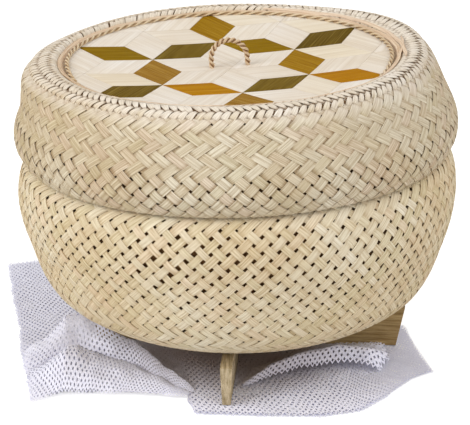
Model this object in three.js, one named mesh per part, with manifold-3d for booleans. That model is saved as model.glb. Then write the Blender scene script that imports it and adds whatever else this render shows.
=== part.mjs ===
// Sticky rice steamer basket: a double-walled woven bowl on crossed slats,
// a woven lid with a plaited star panel and a twisted loop, and the folded
// steaming net that the basket stands on.
// Units are millimetres, +Z is up, the photographed front faces -Y.
// The floor is z = 0 and the basket axis is the Z axis.

import * as THREE from "three";
import { mergeVertices, toCreasedNormals } from "three/addons/utils/BufferGeometryUtils.js";
import Module from "manifold-3d";

// Driving dimensions

const fit_gap = 0.3;
const layer_thickness = 1.4;
const layer_gap = 1.6;

const body_radius = 100.8;
const body_rise = 98.5;
const body_fold_depth = 8;
const body_hoop_height = 6.4;

const lid_rise = 44;
const lid_fold_depth = 6;
const lid_hoop_height = 4.6;
const lid_cap_gap = 3.4;
const hoop_thickness = 1;

const slat_height = 19.2;
const slat_top_thickness = 5.2;
const slat_foot_thickness = 3.8;
const slat_top_length = 149;
const slat_foot_length = 141;
const slat_overhang = 4.3;
const slat_hole_radius = 1.1;
const slat_hole_height = 13;

const lashing_radius = 0.5;
const lashing_corner_radius = 1.1;
const lashing_place = 46;

const panel_edge_gap = 2;
const panel_thickness = 2.8;
const panel_dish = 3.5;
const panel_seat_gap = 0.4;

const tile_thickness = 0.8;
const web_thickness = 0.7;

const border_cord_radius = 1.3;
const binding_width = 2.8;
const binding_thickness = 0.7;

const handle_width = 16.6;
const handle_rise = 13;
const strand_radius = 0.72;
const strand_pitch = 7.8;
const knot_radius = 3.4;
const knot_height = 2.4;

const net_span = 220;
const net_thickness = 1.5;
const net_fold_height = 7;
const net_fold_width = 8;
const net_slat_clearance = 7;

// Lean of the handmade lid: how far its crest stands to the left

const lid_lean = 3.6;

// How far the handmade plait and the handle stand towards the front of the
// panel, and how much longer the plait is from front to back than across

const plait_forward = 5.4;
const plait_stretch = 1.1;
const handle_forward = 2;

// Longest facet of a piece that is bent into the panel's dish

const facet_length = 24;

// Angles in degrees about the basket axis, seen from above

const pattern_turn_degrees = -21.5;
const handle_turn_degrees = 12;
const slat_turn_degrees = -3.6;
const seat_tilt_degrees = 1.6;

// Facet counts

const wall_facets = 36;
const ring_facets = 60;
const fold_steps = 4;
const rope_steps_per_turn = 8;
const rope_sides = 6;
const net_cells = 21;

// Shapes as ratios: [radius / body_radius, height / body_rise] from the
// flat bottom out to the bulge, in over the shoulder and up the neck

const body_profile_shares = [
  [0, 0], [0.5655, 0], [0.6548, 0.0173], [0.755, 0.066], [0.8472, 0.1371],
  [0.9058, 0.2335], [0.9484, 0.3553], [0.9841, 0.4721], [1, 0.5736], [0.998, 0.6497],
  [0.9881, 0.7056], [0.9663, 0.7482], [0.9345, 0.7766], [0.9107, 0.8051],
  [0.9018, 0.8528], [0.9008, 1],
];

// Lid wall as [radius / body_radius, height / lid_rise] from the inner edge
// of the woven crest, over the crest and down the wall to the lip

const lid_profile_shares = [
  [0.7599, 0.9395], [0.7857, 0.986], [0.8214, 1], [0.8611, 0.9744],
  [0.8968, 0.9163], [0.9246, 0.8326], [0.9603, 0.6488], [0.9901, 0.4442],
  [1.005, 0.293], [1.004, 0.1605], [0.9881, 0.0721], [0.9702, 0],
];

// Inside of the lid as [radius / body_radius, height / lid_rise]: the corner
// between the lining of the wall and the lining of the cap

const lid_corner_shares = [[0.79, 0.775], [0.84, 0.755], [0.872, 0.70]];
const lid_lining_top_share = 0.66;
const cap_radius_share = 0.7440;
const cap_steps = 3;

// Heights against body_rise between which the body takes up the seat's tilt

const tilt_start_share = 0.35;
const tilt_end_share = 0.74;

// Spacing of the panel's rhombic tiles against the panel's radius, and the
// webs of the dyed strips against a tile's side

const tile_pitch_share = 0.5094;
const web_width_share = 0.52;
const web_post_share = 0.68;

// Net outline as [x, y] / net_span, walked from the front-left corner

const net_front_shares = [
  [-0.423, -0.327], [-0.356, -0.287], [-0.268, -0.281], [-0.1, -0.292], [-0.085, -0.38],
  [0.045, -0.392], [0.18, -0.392], [0.25, -0.368], [0.305, -0.295], [0.36, -0.205],
  [0.412, -0.16],
];
const net_right_shares = [
  [0.412, -0.16], [0.4, -0.11], [0.375, 0.04], [0.345, 0.18], [0.31, 0.33],
];
const net_back_shares = [
  [-0.536, 0.464], [-0.47, 0.49], [-0.2, 0.48], [0.1, 0.43], [0.31, 0.33],
];
const net_left_shares = [
  [-0.423, -0.327], [-0.455, -0.11], [-0.483, 0.11], [-0.513, 0.3], [-0.536, 0.464],
];

// Crests of the net's raised folds as [x, y] / net_span, and the height of
// each against net_fold_height

const net_fold_shares = [
  {
    height_share: 1,
    crest_shares: [[-0.36, 0], [-0.29, -0.04], [-0.225, -0.115], [-0.16, -0.205], [-0.12, -0.27]],
  },
  {
    height_share: 0.9,
    crest_shares: [[0.06, -0.3], [0.1, -0.25], [0.19, -0.185], [0.28, -0.145], [0.3, -0.24]],
  },
  { height_share: 0.6, crest_shares: [[-0.5, 0.36], [-0.47, 0.16], [-0.45, 0.02]] },
  { height_share: 0.5, crest_shares: [[-0.38, -0.21], [-0.28, -0.23], [-0.17, -0.235]] },
];

// Derived sizes

const wall_thickness = 2 * layer_thickness + layer_gap;
const foot_level = net_thickness + fit_gap;
const body_bottom = foot_level + slat_height + fit_gap;
const slat_half_height = slat_height / 2;
const rope_radius = strand_radius + fit_gap / 2;
const rope_outer_radius = rope_radius + strand_radius;
const rope_hole_radius = rope_outer_radius + fit_gap;
const cap_radius = cap_radius_share * body_radius;
const panel_radius = lid_profile_shares[0][0] * body_radius - panel_edge_gap;
const border_radius = panel_radius - border_cord_radius;
const tile_pitch = tile_pitch_share * panel_radius;
const weld_length = fit_gap / 1000;

// Solid modelling helpers

const wasm = await Module();
wasm.setup();

/** Welds a geometry, drops flat and back-to-back faces, and closes it as a solid. */
function toSolid(geometry) {
  const bare = new THREE.BufferGeometry();
  bare.setAttribute("position", geometry.getAttribute("position").clone());
  if (geometry.index) {
    bare.setIndex(geometry.index.clone());
  }
  const welded = mergeVertices(bare, weld_length);
  const corners = welded.index.array;
  const faces = new Map();
  for (let i = 0; i < corners.length; i += 3) {
    const face = [corners[i], corners[i + 1], corners[i + 2]];
    const key = [...face].sort((a, b) => a - b).join();
    if (new Set(face).size === 3 && !faces.delete(key)) {
      faces.set(key, face);
    }
  }
  const kept = [...faces.values()].flat();
  const mesh = new wasm.Mesh({
    numProp: 3,
    vertProperties: new Float32Array(welded.getAttribute("position").array),
    triVerts: new Uint32Array(kept),
  });
  mesh.merge();
  return new wasm.Manifold(mesh);
}

/** Turns a solid into a named mesh with creased normals. */
function toMesh(name, solid, material) {
  const mesh = solid.getMesh();
  const positions = new Float32Array(mesh.numVert * 3);
  for (let i = 0; i < mesh.numVert; i += 1) {
    for (let axis = 0; axis < 3; axis += 1) {
      positions[i * 3 + axis] = mesh.vertProperties[i * mesh.numProp + axis];
    }
  }
  const geometry = new THREE.BufferGeometry();
  geometry.setAttribute("position", new THREE.BufferAttribute(positions, 3));
  geometry.setIndex(new THREE.BufferAttribute(new Uint32Array(mesh.triVerts), 1));
  const result = new THREE.Mesh(toCreasedNormals(geometry, Math.PI / 6), material);
  result.name = name;
  return result;
}

/** Signed area of a closed [radius, height] loop. */
function loopArea(loop) {
  return loop.reduce((sum, point, i) => {
    const next = loop[(i + 1) % loop.length];
    return sum + (point[0] * next[1] - next[0] * point[1]) / 2;
  }, 0);
}

/** Revolves a closed [radius, height] loop about the Z axis. */
function revolve(loop, facets) {
  const ordered = loopArea(loop) > 0 ? loop : [...loop].reverse();
  const closed = [...ordered, ordered[0]];
  const points = closed.map(([radius, height]) => new THREE.Vector2(radius, height));
  const geometry = new THREE.LatheGeometry(points, facets);
  geometry.rotateX(Math.PI / 2);
  return toSolid(geometry);
}

/** Moves an open polyline sideways; side +1 is to the left of its direction. */
function offsetLine(line, distance, side) {
  return line.map((point, i) => {
    const before = line[Math.max(i - 1, 0)];
    const after = line[Math.min(i + 1, line.length - 1)];
    const first = i > 0 ? unitBetween(before, point) : unitBetween(point, after);
    const second = i < line.length - 1 ? unitBetween(point, after) : first;
    const normal = [-(first[1] + second[1]) / 2, (first[0] + second[0]) / 2];
    const square = normal[0] ** 2 + normal[1] ** 2;
    const reach = (side * distance) / square;
    const moved = [point[0] + normal[0] * reach, point[1] + normal[1] * reach];
    return point[0] === 0 ? [0, point[1] + side * distance] : moved;
  });
}

/** Unit vector from one 2-D point to another. */
function unitBetween(from, to) {
  const step = [to[0] - from[0], to[1] - from[1]];
  const length = Math.hypot(...step);
  return [step[0] / length, step[1] / length];
}

/** Point at an arc length from the start of a polyline, with what precedes it. */
function cutLine(line, length) {
  const kept = [line[0]];
  let left = length;
  for (let i = 1; i < line.length; i += 1) {
    const step = Math.hypot(line[i][0] - line[i - 1][0], line[i][1] - line[i - 1][1]);
    if (step >= left) {
      const t = left / step;
      kept.push(line[i - 1].map((value, axis) => value + (line[i][axis] - value) * t));
      return kept;
    }
    kept.push(line[i]);
    left -= step;
  }
  return kept;
}

/** The part of a polyline that remains after its last stretch is cut off. */
function trimEnd(line, length) {
  const total = line.slice(1).reduce(
    (sum, point, i) => sum + Math.hypot(point[0] - line[i][0], point[1] - line[i][1]), 0);
  return cutLine(line, total - length);
}

/** Closed loop between two offsets of one polyline. */
function band(line, near, far, side) {
  return [...offsetLine(line, near, side), ...offsetLine(line, far, side).reverse()];
}

/** Middle line of a woven layer that turns over the edge of a wall. */
function foldedLine(surface, depth, side) {
  const outer = offsetLine(surface, layer_thickness / 2, side);
  const inner = offsetLine(surface, wall_thickness - layer_thickness / 2, side);
  const last = outer[outer.length - 1];
  const opposite = inner[inner.length - 1];
  const centre = [(last[0] + opposite[0]) / 2, (last[1] + opposite[1]) / 2];
  const across = [last[0] - centre[0], last[1] - centre[1]];
  const along = [across[1] * side * -1, across[0] * side];
  const arc = [];
  for (let i = 1; i < fold_steps; i += 1) {
    const angle = (Math.PI * i) / fold_steps;
    arc.push([
      centre[0] + across[0] * Math.cos(angle) + along[0] * Math.sin(angle),
      centre[1] + across[1] * Math.cos(angle) + along[1] * Math.sin(angle),
    ]);
  }
  return [...outer, ...arc, ...cutLine([...inner].reverse(), depth)];
}

/** Closed loop of a woven layer about its middle line. */
function layerLoop(middle, side) {
  return band(middle, -layer_thickness / 2, layer_thickness / 2, side);
}

/** Prism with a 2-D outline from one height to another. */
function prism(outline, low, high) {
  const shape = new THREE.Shape(outline.map(([x, y]) => new THREE.Vector2(x, y)));
  const geometry = new THREE.ExtrudeGeometry(shape, { depth: high - low, bevelEnabled: false });
  geometry.translate(0, 0, low);
  return toSolid(geometry);
}

/** Upright cylinder between two heights. */
function post(radius, low, high, facets) {
  const geometry = new THREE.CylinderGeometry(radius, radius, high - low, facets);
  geometry.rotateX(Math.PI / 2);
  geometry.translate(0, 0, (low + high) / 2);
  return toSolid(geometry);
}

/** Round rod along a smooth curve. */
function rod(points, closed, radius, sides, steps) {
  const vectors = points.map((point) => new THREE.Vector3(...point));
  const path = new THREE.CatmullRomCurve3(vectors, closed, "centripetal");
  const shape = new THREE.Shape();
  shape.absarc(0, 0, radius, 0, 2 * Math.PI, false);
  const options = { steps, extrudePath: path, curveSegments: sides / 2, bevelEnabled: false };
  return toSolid(new THREE.ExtrudeGeometry(shape, options));
}

// Materials

const straw = new THREE.MeshStandardMaterial({ color: 0xdccda4, roughness: 0.7, metalness: 0 });
const straw_inner = new THREE.MeshStandardMaterial({ color: 0xcdbb8c, roughness: 0.75, metalness: 0 });
const ivory = new THREE.MeshStandardMaterial({ color: 0xe8e0d4, roughness: 0.6, metalness: 0 });
const cane = new THREE.MeshStandardMaterial({ color: 0xdcbf98, roughness: 0.55, metalness: 0 });
const hoop_bamboo = new THREE.MeshStandardMaterial({ color: 0xc9a46a, roughness: 0.6, metalness: 0 });
const slat_wood = new THREE.MeshStandardMaterial({ color: 0x8f7340, roughness: 0.7, metalness: 0 });
const net_white = new THREE.MeshStandardMaterial({ color: 0xdcd9e6, roughness: 0.9, metalness: 0 });
const dyes = {
  olive: new THREE.MeshStandardMaterial({ color: 0x7d6d12, roughness: 0.55, metalness: 0 }),
  ochre: new THREE.MeshStandardMaterial({ color: 0xb5790f, roughness: 0.55, metalness: 0 }),
  dark_olive: new THREE.MeshStandardMaterial({ color: 0x5b4a1c, roughness: 0.55, metalness: 0 }),
  tan: new THREE.MeshStandardMaterial({ color: 0x9c7a33, roughness: 0.55, metalness: 0 }),
};

const group = new THREE.Group();
group.name = "sticky_rice_steamer_basket";

/** Tilts what lies at and above the seat, right side up, easing in below it. */
function tilted(solid) {
  const slope = Math.tan(THREE.MathUtils.degToRad(seat_tilt_degrees));
  const start = body_bottom + tilt_start_share * body_rise;
  const end = body_bottom + tilt_end_share * body_rise;
  return solid.warp((vertex) => {
    vertex[2] += slope * vertex[0] * THREE.MathUtils.smoothstep(vertex[2], start, end);
  });
}

/** Gives a lid piece the lean of the handmade lid, then the tilt of its seat. */
function leaning(solid) {
  return tilted(solid.warp((vertex) => {
    vertex[0] -= (lid_lean * (vertex[2] - lid_seat)) / lid_rise;
  }));
}

/** Adds a finished solid to the group. */
function addPart(name, solid, material) {
  group.add(toMesh(name, solid, material));
}

// Body: two woven layers with a bamboo hoop caught in the rim fold

const body_surface = body_profile_shares.map(
  ([radius_share, rise_share]) => [radius_share * body_radius, body_bottom + rise_share * body_rise]);
const body_inside = 1;

const lashing_sites = [0, 1, 2, 3].map((quarter) => {
  const angle = THREE.MathUtils.degToRad(slat_turn_degrees) + (quarter * Math.PI) / 2;
  return { angle, x: lashing_place * Math.cos(angle), y: lashing_place * Math.sin(angle) };
});
const lashing_half_width = slat_top_thickness / 2 + fit_gap + lashing_radius;
const lashing_top = body_bottom + layer_thickness + fit_gap + lashing_radius;
const lashing_bottom = foot_level + slat_hole_height;
const lashing_hole_radius = lashing_radius + fit_gap;

function bodyOuterWall() {
  const middle = foldedLine(body_surface, body_fold_depth, body_inside);
  let wall = revolve(layerLoop(middle, body_inside), wall_facets);
  for (const site of lashing_sites) {
    for (const side of [-1, 1]) {
      const hole = post(lashing_hole_radius, body_bottom - layer_thickness,
        body_bottom + 2 * layer_thickness, rope_sides * 2);
      const x = site.x - side * lashing_half_width * Math.sin(site.angle);
      const y = site.y + side * lashing_half_width * Math.cos(site.angle);
      wall = wall.subtract(hole.translate([x, y, 0]));
    }
  }
  return wall;
}

function bodyInnerWall() {
  const middle = offsetLine(body_surface, wall_thickness - layer_thickness / 2, body_inside);
  const trimmed = trimEnd(middle, body_fold_depth + fit_gap);
  return revolve(layerLoop(trimmed, body_inside), wall_facets);
}

function hoopIn(surface, height, side) {
  const near = layer_thickness + (layer_gap - hoop_thickness) / 2;
  const run = cutLine([...surface].reverse(), height);
  return revolve(band(run, near, near + hoop_thickness, -side), wall_facets);
}

addPart("body_outer_wall", tilted(bodyOuterWall()), straw);
addPart("body_inner_wall", tilted(bodyInnerWall()), straw_inner);
addPart("body_rim_hoop", tilted(hoopIn(body_surface, body_hoop_height, body_inside)), hoop_bamboo);

// Lid: seated so that its lip rests just above the shoulder of the body

const lid_inside = -1;
const lid_wall_at_zero = lid_profile_shares.map(
  ([radius_share, rise_share]) => [radius_share * body_radius, rise_share * lid_rise]);

/** Shortest distance from a point to a polyline. */
function distanceToLine(point, line) {
  return line.slice(1).reduce((best, end, i) => {
    const start = line[i];
    const step = [end[0] - start[0], end[1] - start[1]];
    const square = step[0] ** 2 + step[1] ** 2;
    const raw = ((point[0] - start[0]) * step[0] + (point[1] - start[1]) * step[1]) / square;
    const t = Math.min(Math.max(raw, 0), 1);
    const miss = Math.hypot(point[0] - start[0] - step[0] * t, point[1] - start[1] - step[1] * t);
    return Math.min(best, miss);
  }, Infinity);
}

/** Smallest distance between the corners of two polylines and each other. */
function lineClearance(first, second) {
  return Math.min(
    ...first.map((point) => distanceToLine(point, second)),
    ...second.map((point) => distanceToLine(point, first)));
}

/** Height of the lid's lip when it has come down onto the shoulder. */
function seatLevel() {
  const middle = foldedLine(lid_wall_at_zero, lid_fold_depth, lid_inside);
  const skin = offsetLine(middle, -layer_thickness / 2, lid_inside);
  const lip = skin.slice(lid_wall_at_zero.length - 2, lid_wall_at_zero.length + fold_steps + 1);
  const step = fit_gap / 20;
  const lowered = (level) => lip.map(([radius, height]) => [radius, height + level]);
  let level = body_bottom + body_rise;
  while (level > body_bottom && lineClearance(lowered(level - step), body_surface) > fit_gap) {
    level -= step;
  }
  return level;
}

const lid_seat = seatLevel();
const lid_wall_surface = lid_wall_at_zero.map(([radius, height]) => [radius, height + lid_seat]);
const crest_inner_edge = lid_wall_surface[0];
const panel_edge_top = crest_inner_edge[1];
const cap_edge = panel_edge_top - panel_thickness - panel_seat_gap;

/** Drop of the dished cap and panel at a distance from the axis. */
function dishDrop(radius) {
  return panel_dish * (1 - (radius / cap_radius) ** 2);
}

/** Dished line from the axis to a radius, below a given edge height. */
function dishLine(radius, edge) {
  const line = [];
  for (let i = 0; i <= cap_steps; i += 1) {
    const r = (radius * i) / cap_steps;
    line.push([r, edge - dishDrop(r)]);
  }
  return line;
}

const lid_surface = [
  ...dishLine(cap_radius, cap_edge),
  [(cap_radius + crest_inner_edge[0]) / 2 + fit_gap, cap_edge + panel_seat_gap],
  ...lid_wall_surface,
];

function lidOuterWall() {
  const middle = foldedLine(lid_surface, lid_fold_depth, lid_inside);
  const wall = revolve(layerLoop(middle, lid_inside), wall_facets);
  return legSites().reduce((solid, [x, y]) => {
    const hole = post(rope_hole_radius, cap_edge - 2 * panel_dish, panel_edge_top, rope_sides * 2);
    return solid.subtract(hole.translate([x, y, 0]));
  }, wall);
}

function lidInnerWall() {
  const cap_middle = cap_edge - 1.5 * layer_thickness - lid_cap_gap;
  const corner = lid_corner_shares.map(
    ([radius_share, rise_share]) => [radius_share * body_radius, lid_seat + rise_share * lid_rise]);
  const lining = offsetLine(lid_wall_surface, wall_thickness - layer_thickness / 2, lid_inside);
  const lower = lining.filter(([, height]) => height < lid_seat + lid_lining_top_share * lid_rise);
  const upright = trimEnd(lower, lid_fold_depth + fit_gap);
  const flat = dishLine(lid_corner_shares[0][0] * body_radius * cap_radius_share, cap_middle);
  return revolve(layerLoop([...flat, ...corner, ...upright], lid_inside), wall_facets);
}

// Star panel: a dished disc of natural weave, plaited through by six dyed
// strips. Each strip shows as two rhombic tiles; between them it dives under
// the natural weave and under one tile of the next strip round.

const tile_side = tile_pitch / Math.sqrt(3);
const web_top = -tile_thickness - fit_gap;
const web_bottom = web_top - web_thickness;

/** Outline of a strip piece in its own slanted axes, as plan points. */
function slantedOutline(centre, along, across, start, end, half_width) {
  const corner = (a, b) => [
    centre[0] + along[0] * a + across[0] * b,
    centre[1] + along[1] * a + across[1] * b,
  ];
  return [
    corner(start, -half_width), corner(end, -half_width),
    corner(end, half_width), corner(start, half_width),
  ];
}

/** Unit vector in the plan at an angle of the plait, in degrees. */
function plaitDirection(degrees) {
  const angle = THREE.MathUtils.degToRad(degrees + pattern_turn_degrees);
  return [Math.cos(angle), Math.sin(angle)];
}

/** One dyed strip: centres of its inner and outer tile and its two directions. */
function stripPlan(turn_degrees, mirror) {
  const along = plaitDirection(turn_degrees + 30);
  const across = plaitDirection(turn_degrees - 30);
  const beside = plaitDirection(turn_degrees + 90);
  const inner_reach = (mirror * tile_pitch * Math.sqrt(3)) / 2;
  const inner = [beside[0] * inner_reach, beside[1] * inner_reach];
  const towards_outer = -mirror;
  const spacing = tile_pitch * Math.sqrt(3);
  const outer = [
    inner[0] + along[0] * towards_outer * spacing,
    inner[1] + along[1] * towards_outer * spacing,
  ];
  return { along, across, inner, outer, towards_outer, spacing };
}

/** Solid of one strip; grow is the clearance added all round it. */
function stripSolid(plan, grow) {
  const slant = Math.sin(Math.PI / 3);
  const half = tile_side / 2 + (grow - fit_gap / 2) / slant;
  const { along, across, inner, outer, towards_outer, spacing } = plan;
  const tiles = [inner, outer].map(
    (centre) => slantedOutline(centre, along, across, -half, half, half));
  const post_start = towards_outer * ((tile_side / 2) * web_post_share - grow);
  const web_end = towards_outer * (spacing + grow);
  const web_half = (tile_side / 2) * web_width_share + grow;
  const [low, high] = [Math.min(post_start, web_end), Math.max(post_start, web_end)];
  const web_outline = slantedOutline(inner, along, across, low, high, web_half);
  const top = grow > 0 ? panel_thickness : 0;
  const tile_solids = tiles.map((outline) => prism(outline, -tile_thickness - grow, top));
  const web = prism(web_outline, web_bottom - grow, web_top + grow);
  const stem = prism(web_outline, web_bottom - grow, -grow);
  const tops = tile_solids[0].add(tile_solids[1]);
  const under = prism(tiles[0], web_bottom, 0).add(prism(tiles[1], web_bottom, 0));
  return tops.add(web).add(stem.intersect(under))
    .scale([1, plait_stretch, 1]).translate([0, -plait_forward, 0]);
}

/** Bends a flat panel piece, whose top is z = 0, into the dish. */
function dished(solid) {
  return solid.refineToLength(facet_length).warp((vertex) => {
    vertex[2] += panel_edge_top - dishDrop(Math.hypot(vertex[0], vertex[1]));
  });
}

/** Plan positions of the two legs of the loop handle. */
function legSites() {
  const angle = THREE.MathUtils.degToRad(handle_turn_degrees);
  return [-1, 1].map((side) => [
    (side * handle_width * Math.cos(angle)) / 2,
    (side * handle_width * Math.sin(angle)) / 2 - handle_forward,
  ]);
}

const dyed_strips = [
  { name: "dyed_strip_olive_back", turn: 0, mirror: 1, dye: dyes.olive },
  { name: "dyed_strip_ochre_front", turn: 0, mirror: -1, dye: dyes.ochre },
  { name: "dyed_strip_dark_left", turn: 60, mirror: 1, dye: dyes.dark_olive },
  { name: "dyed_strip_dark_right", turn: 60, mirror: -1, dye: dyes.dark_olive },
  { name: "dyed_strip_gold_back", turn: 120, mirror: -1, dye: dyes.olive },
  { name: "dyed_strip_tan_front", turn: 120, mirror: 1, dye: dyes.tan },
].map((strip) => ({ ...strip, plan: stripPlan(strip.turn, strip.mirror) }));

function topPanel() {
  let panel = post(panel_radius, -panel_thickness, 0, ring_facets);
  for (const strip of dyed_strips) {
    panel = panel.subtract(stripSolid(strip.plan, fit_gap));
  }
  for (const [x, y] of legSites()) {
    const hole = post(rope_hole_radius, -2 * panel_thickness, panel_thickness, rope_sides * 2);
    panel = panel.subtract(hole.translate([x, y, 0]));
  }
  return dished(panel);
}

function dyedStrip(plan) {
  const field = post(panel_radius - fit_gap, -2 * panel_thickness, panel_thickness, ring_facets);
  return dished(stripSolid(plan, 0).intersect(field));
}

addPart("lid_outer_wall", leaning(lidOuterWall()), straw);
addPart("lid_inner_wall", leaning(lidInnerWall()), straw_inner);
addPart("lid_lip_hoop", leaning(hoopIn(lid_surface, lid_hoop_height, lid_inside)), hoop_bamboo);
addPart("top_panel", leaning(topPanel()), ivory);
for (const strip of dyed_strips) {
  addPart(strip.name, leaning(dyedStrip(strip.plan)), strip.dye);
}

// Panel edge: a twined border on the panel and a flat binding on the slope

function panelBorder() {
  const level = panel_edge_top - dishDrop(border_radius) + fit_gap + border_cord_radius;
  const loop = [];
  for (let i = 0; i < rope_sides; i += 1) {
    const angle = (2 * Math.PI * (i + 0.5)) / rope_sides;
    const reach = border_cord_radius / Math.cos(Math.PI / rope_sides);
    loop.push([border_radius + reach * Math.cos(angle), level + reach * Math.sin(angle)]);
  }
  return revolve(loop, ring_facets);
}

function panelBinding() {
  const slope = [lid_surface[cap_steps + 2], lid_surface[cap_steps + 3]];
  const direction = unitBetween(...slope);
  const lift = [-direction[1], direction[0]];
  const at = (run, rise) => [
    slope[0][0] + direction[0] * run + lift[0] * rise,
    slope[0][1] + direction[1] * run + lift[1] * rise,
  ];
  const near = 2 * fit_gap;
  const loop = [
    at(0, near), at(binding_width, near),
    at(binding_width, near + binding_thickness), at(0, near + binding_thickness),
  ];
  return revolve(loop, ring_facets);
}

addPart("panel_border_braid", leaning(panelBorder()), cane);
addPart("panel_binding", leaning(panelBinding()), cane);

// Loop handle: two strands twisted together, legs through the panel and cap,
// held below the cap by two ring knots

const handle_angle = THREE.MathUtils.degToRad(handle_turn_degrees);
const panel_centre_top = panel_edge_top - panel_dish;
const cap_underside = cap_edge - dishDrop(handle_width / 2) - layer_thickness;
const knot_top = cap_underside - fit_gap;
const knot_bottom = knot_top - knot_height;

/** Middle line of the loop in its own upright plane, as even steps. */
function handleLine() {
  const arch_radius = handle_width / 2;
  const spring = panel_centre_top + handle_rise - arch_radius;
  const leg = spring - knot_bottom;
  const length = 2 * leg + Math.PI * arch_radius;
  const turns = length / strand_pitch;
  const steps = Math.round(turns * rope_steps_per_turn);
  const points = [];
  for (let i = 0; i <= steps; i += 1) {
    const run = (length * i) / steps;
    const twist = (2 * Math.PI * run) / strand_pitch;
    if (run < leg) {
      points.push({ x: -arch_radius, z: knot_bottom + run, out: [-1, 0], twist });
    } else if (run > length - leg) {
      points.push({ x: arch_radius, z: knot_bottom + length - run, out: [1, 0], twist });
    } else {
      const angle = Math.PI - (run - leg) / arch_radius;
      const out = [Math.cos(angle), Math.sin(angle)];
      points.push({ x: arch_radius * out[0], z: spring + arch_radius * out[1], out, twist });
    }
  }
  return points;
}

function handleStrand(phase) {
  const line = handleLine();
  const points = line.map(({ x, z, out, twist }) => {
    const radial = rope_radius * Math.cos(twist + phase);
    const sideways = rope_radius * Math.sin(twist + phase);
    const along_x = x + out[0] * radial;
    return [
      along_x * Math.cos(handle_angle) - sideways * Math.sin(handle_angle),
      along_x * Math.sin(handle_angle) + sideways * Math.cos(handle_angle) - handle_forward,
      z + out[1] * radial,
    ];
  });
  return rod(points, false, strand_radius, rope_sides, line.length - 1);
}

function handleKnot([x, y]) {
  const inner = rope_hole_radius;
  const bulge = (inner + knot_radius) / 2;
  const middle = (knot_top + knot_bottom) / 2;
  const loop = [
    [inner, knot_bottom], [bulge, knot_bottom], [knot_radius, middle],
    [bulge, knot_top], [inner, knot_top],
  ];
  return revolve(loop, rope_sides * 2).translate([x, y, 0]);
}

addPart("handle_strand_a", leaning(handleStrand(0)), cane);
addPart("handle_strand_b", leaning(handleStrand(Math.PI)), cane);
addPart("handle_knot_left", leaning(handleKnot(legSites()[0])), cane);
addPart("handle_knot_right", leaning(handleKnot(legSites()[1])), cane);

// Base: two slats on edge, halved into each other, tapering to the foot

/** A slat along X with its foot at z = 0; slot is +1 from above, -1 from below. */
function slat(slot) {
  const outline = [
    [slat_overhang - slat_foot_length / 2, 0], [slat_overhang + slat_foot_length / 2, 0],
    [slat_overhang + slat_top_length / 2, slat_height],
    [slat_overhang - slat_top_length / 2, slat_height],
  ];
  const board = prism(outline, -slat_top_thickness / 2, slat_top_thickness / 2).rotate([90, 0, 0]);
  const slimming = slat_foot_thickness / slat_top_thickness;
  const tapered = board.warp((vertex) => {
    vertex[1] *= slimming + (1 - slimming) * (vertex[2] / slat_height);
  });
  const slot_half = slat_top_thickness / 2 + fit_gap;
  const [slot_low, slot_high] = slot > 0
    ? [slat_half_height - fit_gap / 2, slat_height * 2]
    : [-slat_height, slat_half_height + fit_gap / 2];
  const square = [
    [-slot_half, -slot_half * 2], [slot_half, -slot_half * 2],
    [slot_half, slot_half * 2], [-slot_half, slot_half * 2],
  ];
  const notch = prism(square, slot_low, slot_high);
  const bore = post(slat_hole_radius, -slat_top_thickness, slat_top_thickness, rope_sides * 2);
  const across = bore.rotate([90, 0, 0]);
  return [-1, 1].reduce(
    (solid, side) => solid.subtract(across.translate([side * lashing_place, 0, slat_hole_height])),
    tapered.subtract(notch));
}

function placedSlat(slot, quarter_turns) {
  const turn = slat_turn_degrees - quarter_turns * 90;
  return slat(slot).rotate([0, 0, turn]).translate([0, 0, foot_level]);
}

addPart("base_slat_left_right", placedSlat(1, 0), slat_wood);
addPart("base_slat_front_back", placedSlat(-1, 1), slat_wood);

// Lashings: closed loops through a slat and over the outer woven bottom

function lashing(site) {
  const half = lashing_half_width;
  const r = lashing_corner_radius;
  const corners = [
    [half - r, lashing_top - r, 0], [-half + r, lashing_top - r, 1],
    [-half + r, lashing_bottom + r, 2], [half - r, lashing_bottom + r, 3],
  ];
  const points = corners.flatMap(([y, z, quarter]) => [0, 1, 2].map((i) => {
    const angle = (quarter * Math.PI) / 2 + (i * Math.PI) / 4;
    return [0, y + r * Math.cos(angle), z + r * Math.sin(angle)];
  }));
  const steps = points.length * 2;
  const turn = THREE.MathUtils.radToDeg(site.angle);
  return rod(points, true, lashing_radius, rope_sides, steps)
    .rotate([0, 0, turn]).translate([site.x, site.y, 0]);
}

["right", "back", "left", "front"].forEach((place, i) => {
  addPart(`base_lashing_${place}`, lashing(lashing_sites[i]), cane);
});

// Net: the folded steaming cloth under the feet, flat below, folds above

/** Point at a share of the length of a polyline of ratio pairs. */
function alongShares(line, share) {
  const steps = line.slice(1).map(
    (point, i) => Math.hypot(point[0] - line[i][0], point[1] - line[i][1]));
  const total = steps.reduce((sum, step) => sum + step, 0);
  return cutLine(line, Math.max(total * share, total * 1e-6)).at(-1);
}

/** Plan point of the net for grid shares u (left to right) and v (front to back). */
function netPlan(u, v) {
  const front = alongShares(net_front_shares, u);
  const back = alongShares(net_back_shares, u);
  const left = alongShares(net_left_shares, v);
  const right = alongShares(net_right_shares, v);
  return [0, 1].map((axis) => {
    const rows = front[axis] * (1 - v) + back[axis] * v + left[axis] * (1 - u) + right[axis] * u;
    const corners = net_front_shares[0][axis] * (1 - u) * (1 - v)
      + net_front_shares.at(-1)[axis] * u * (1 - v)
      + net_back_shares[0][axis] * (1 - u) * v
      + net_back_shares.at(-1)[axis] * u * v;
    return (rows - corners) * net_span;
  });
}

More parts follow.
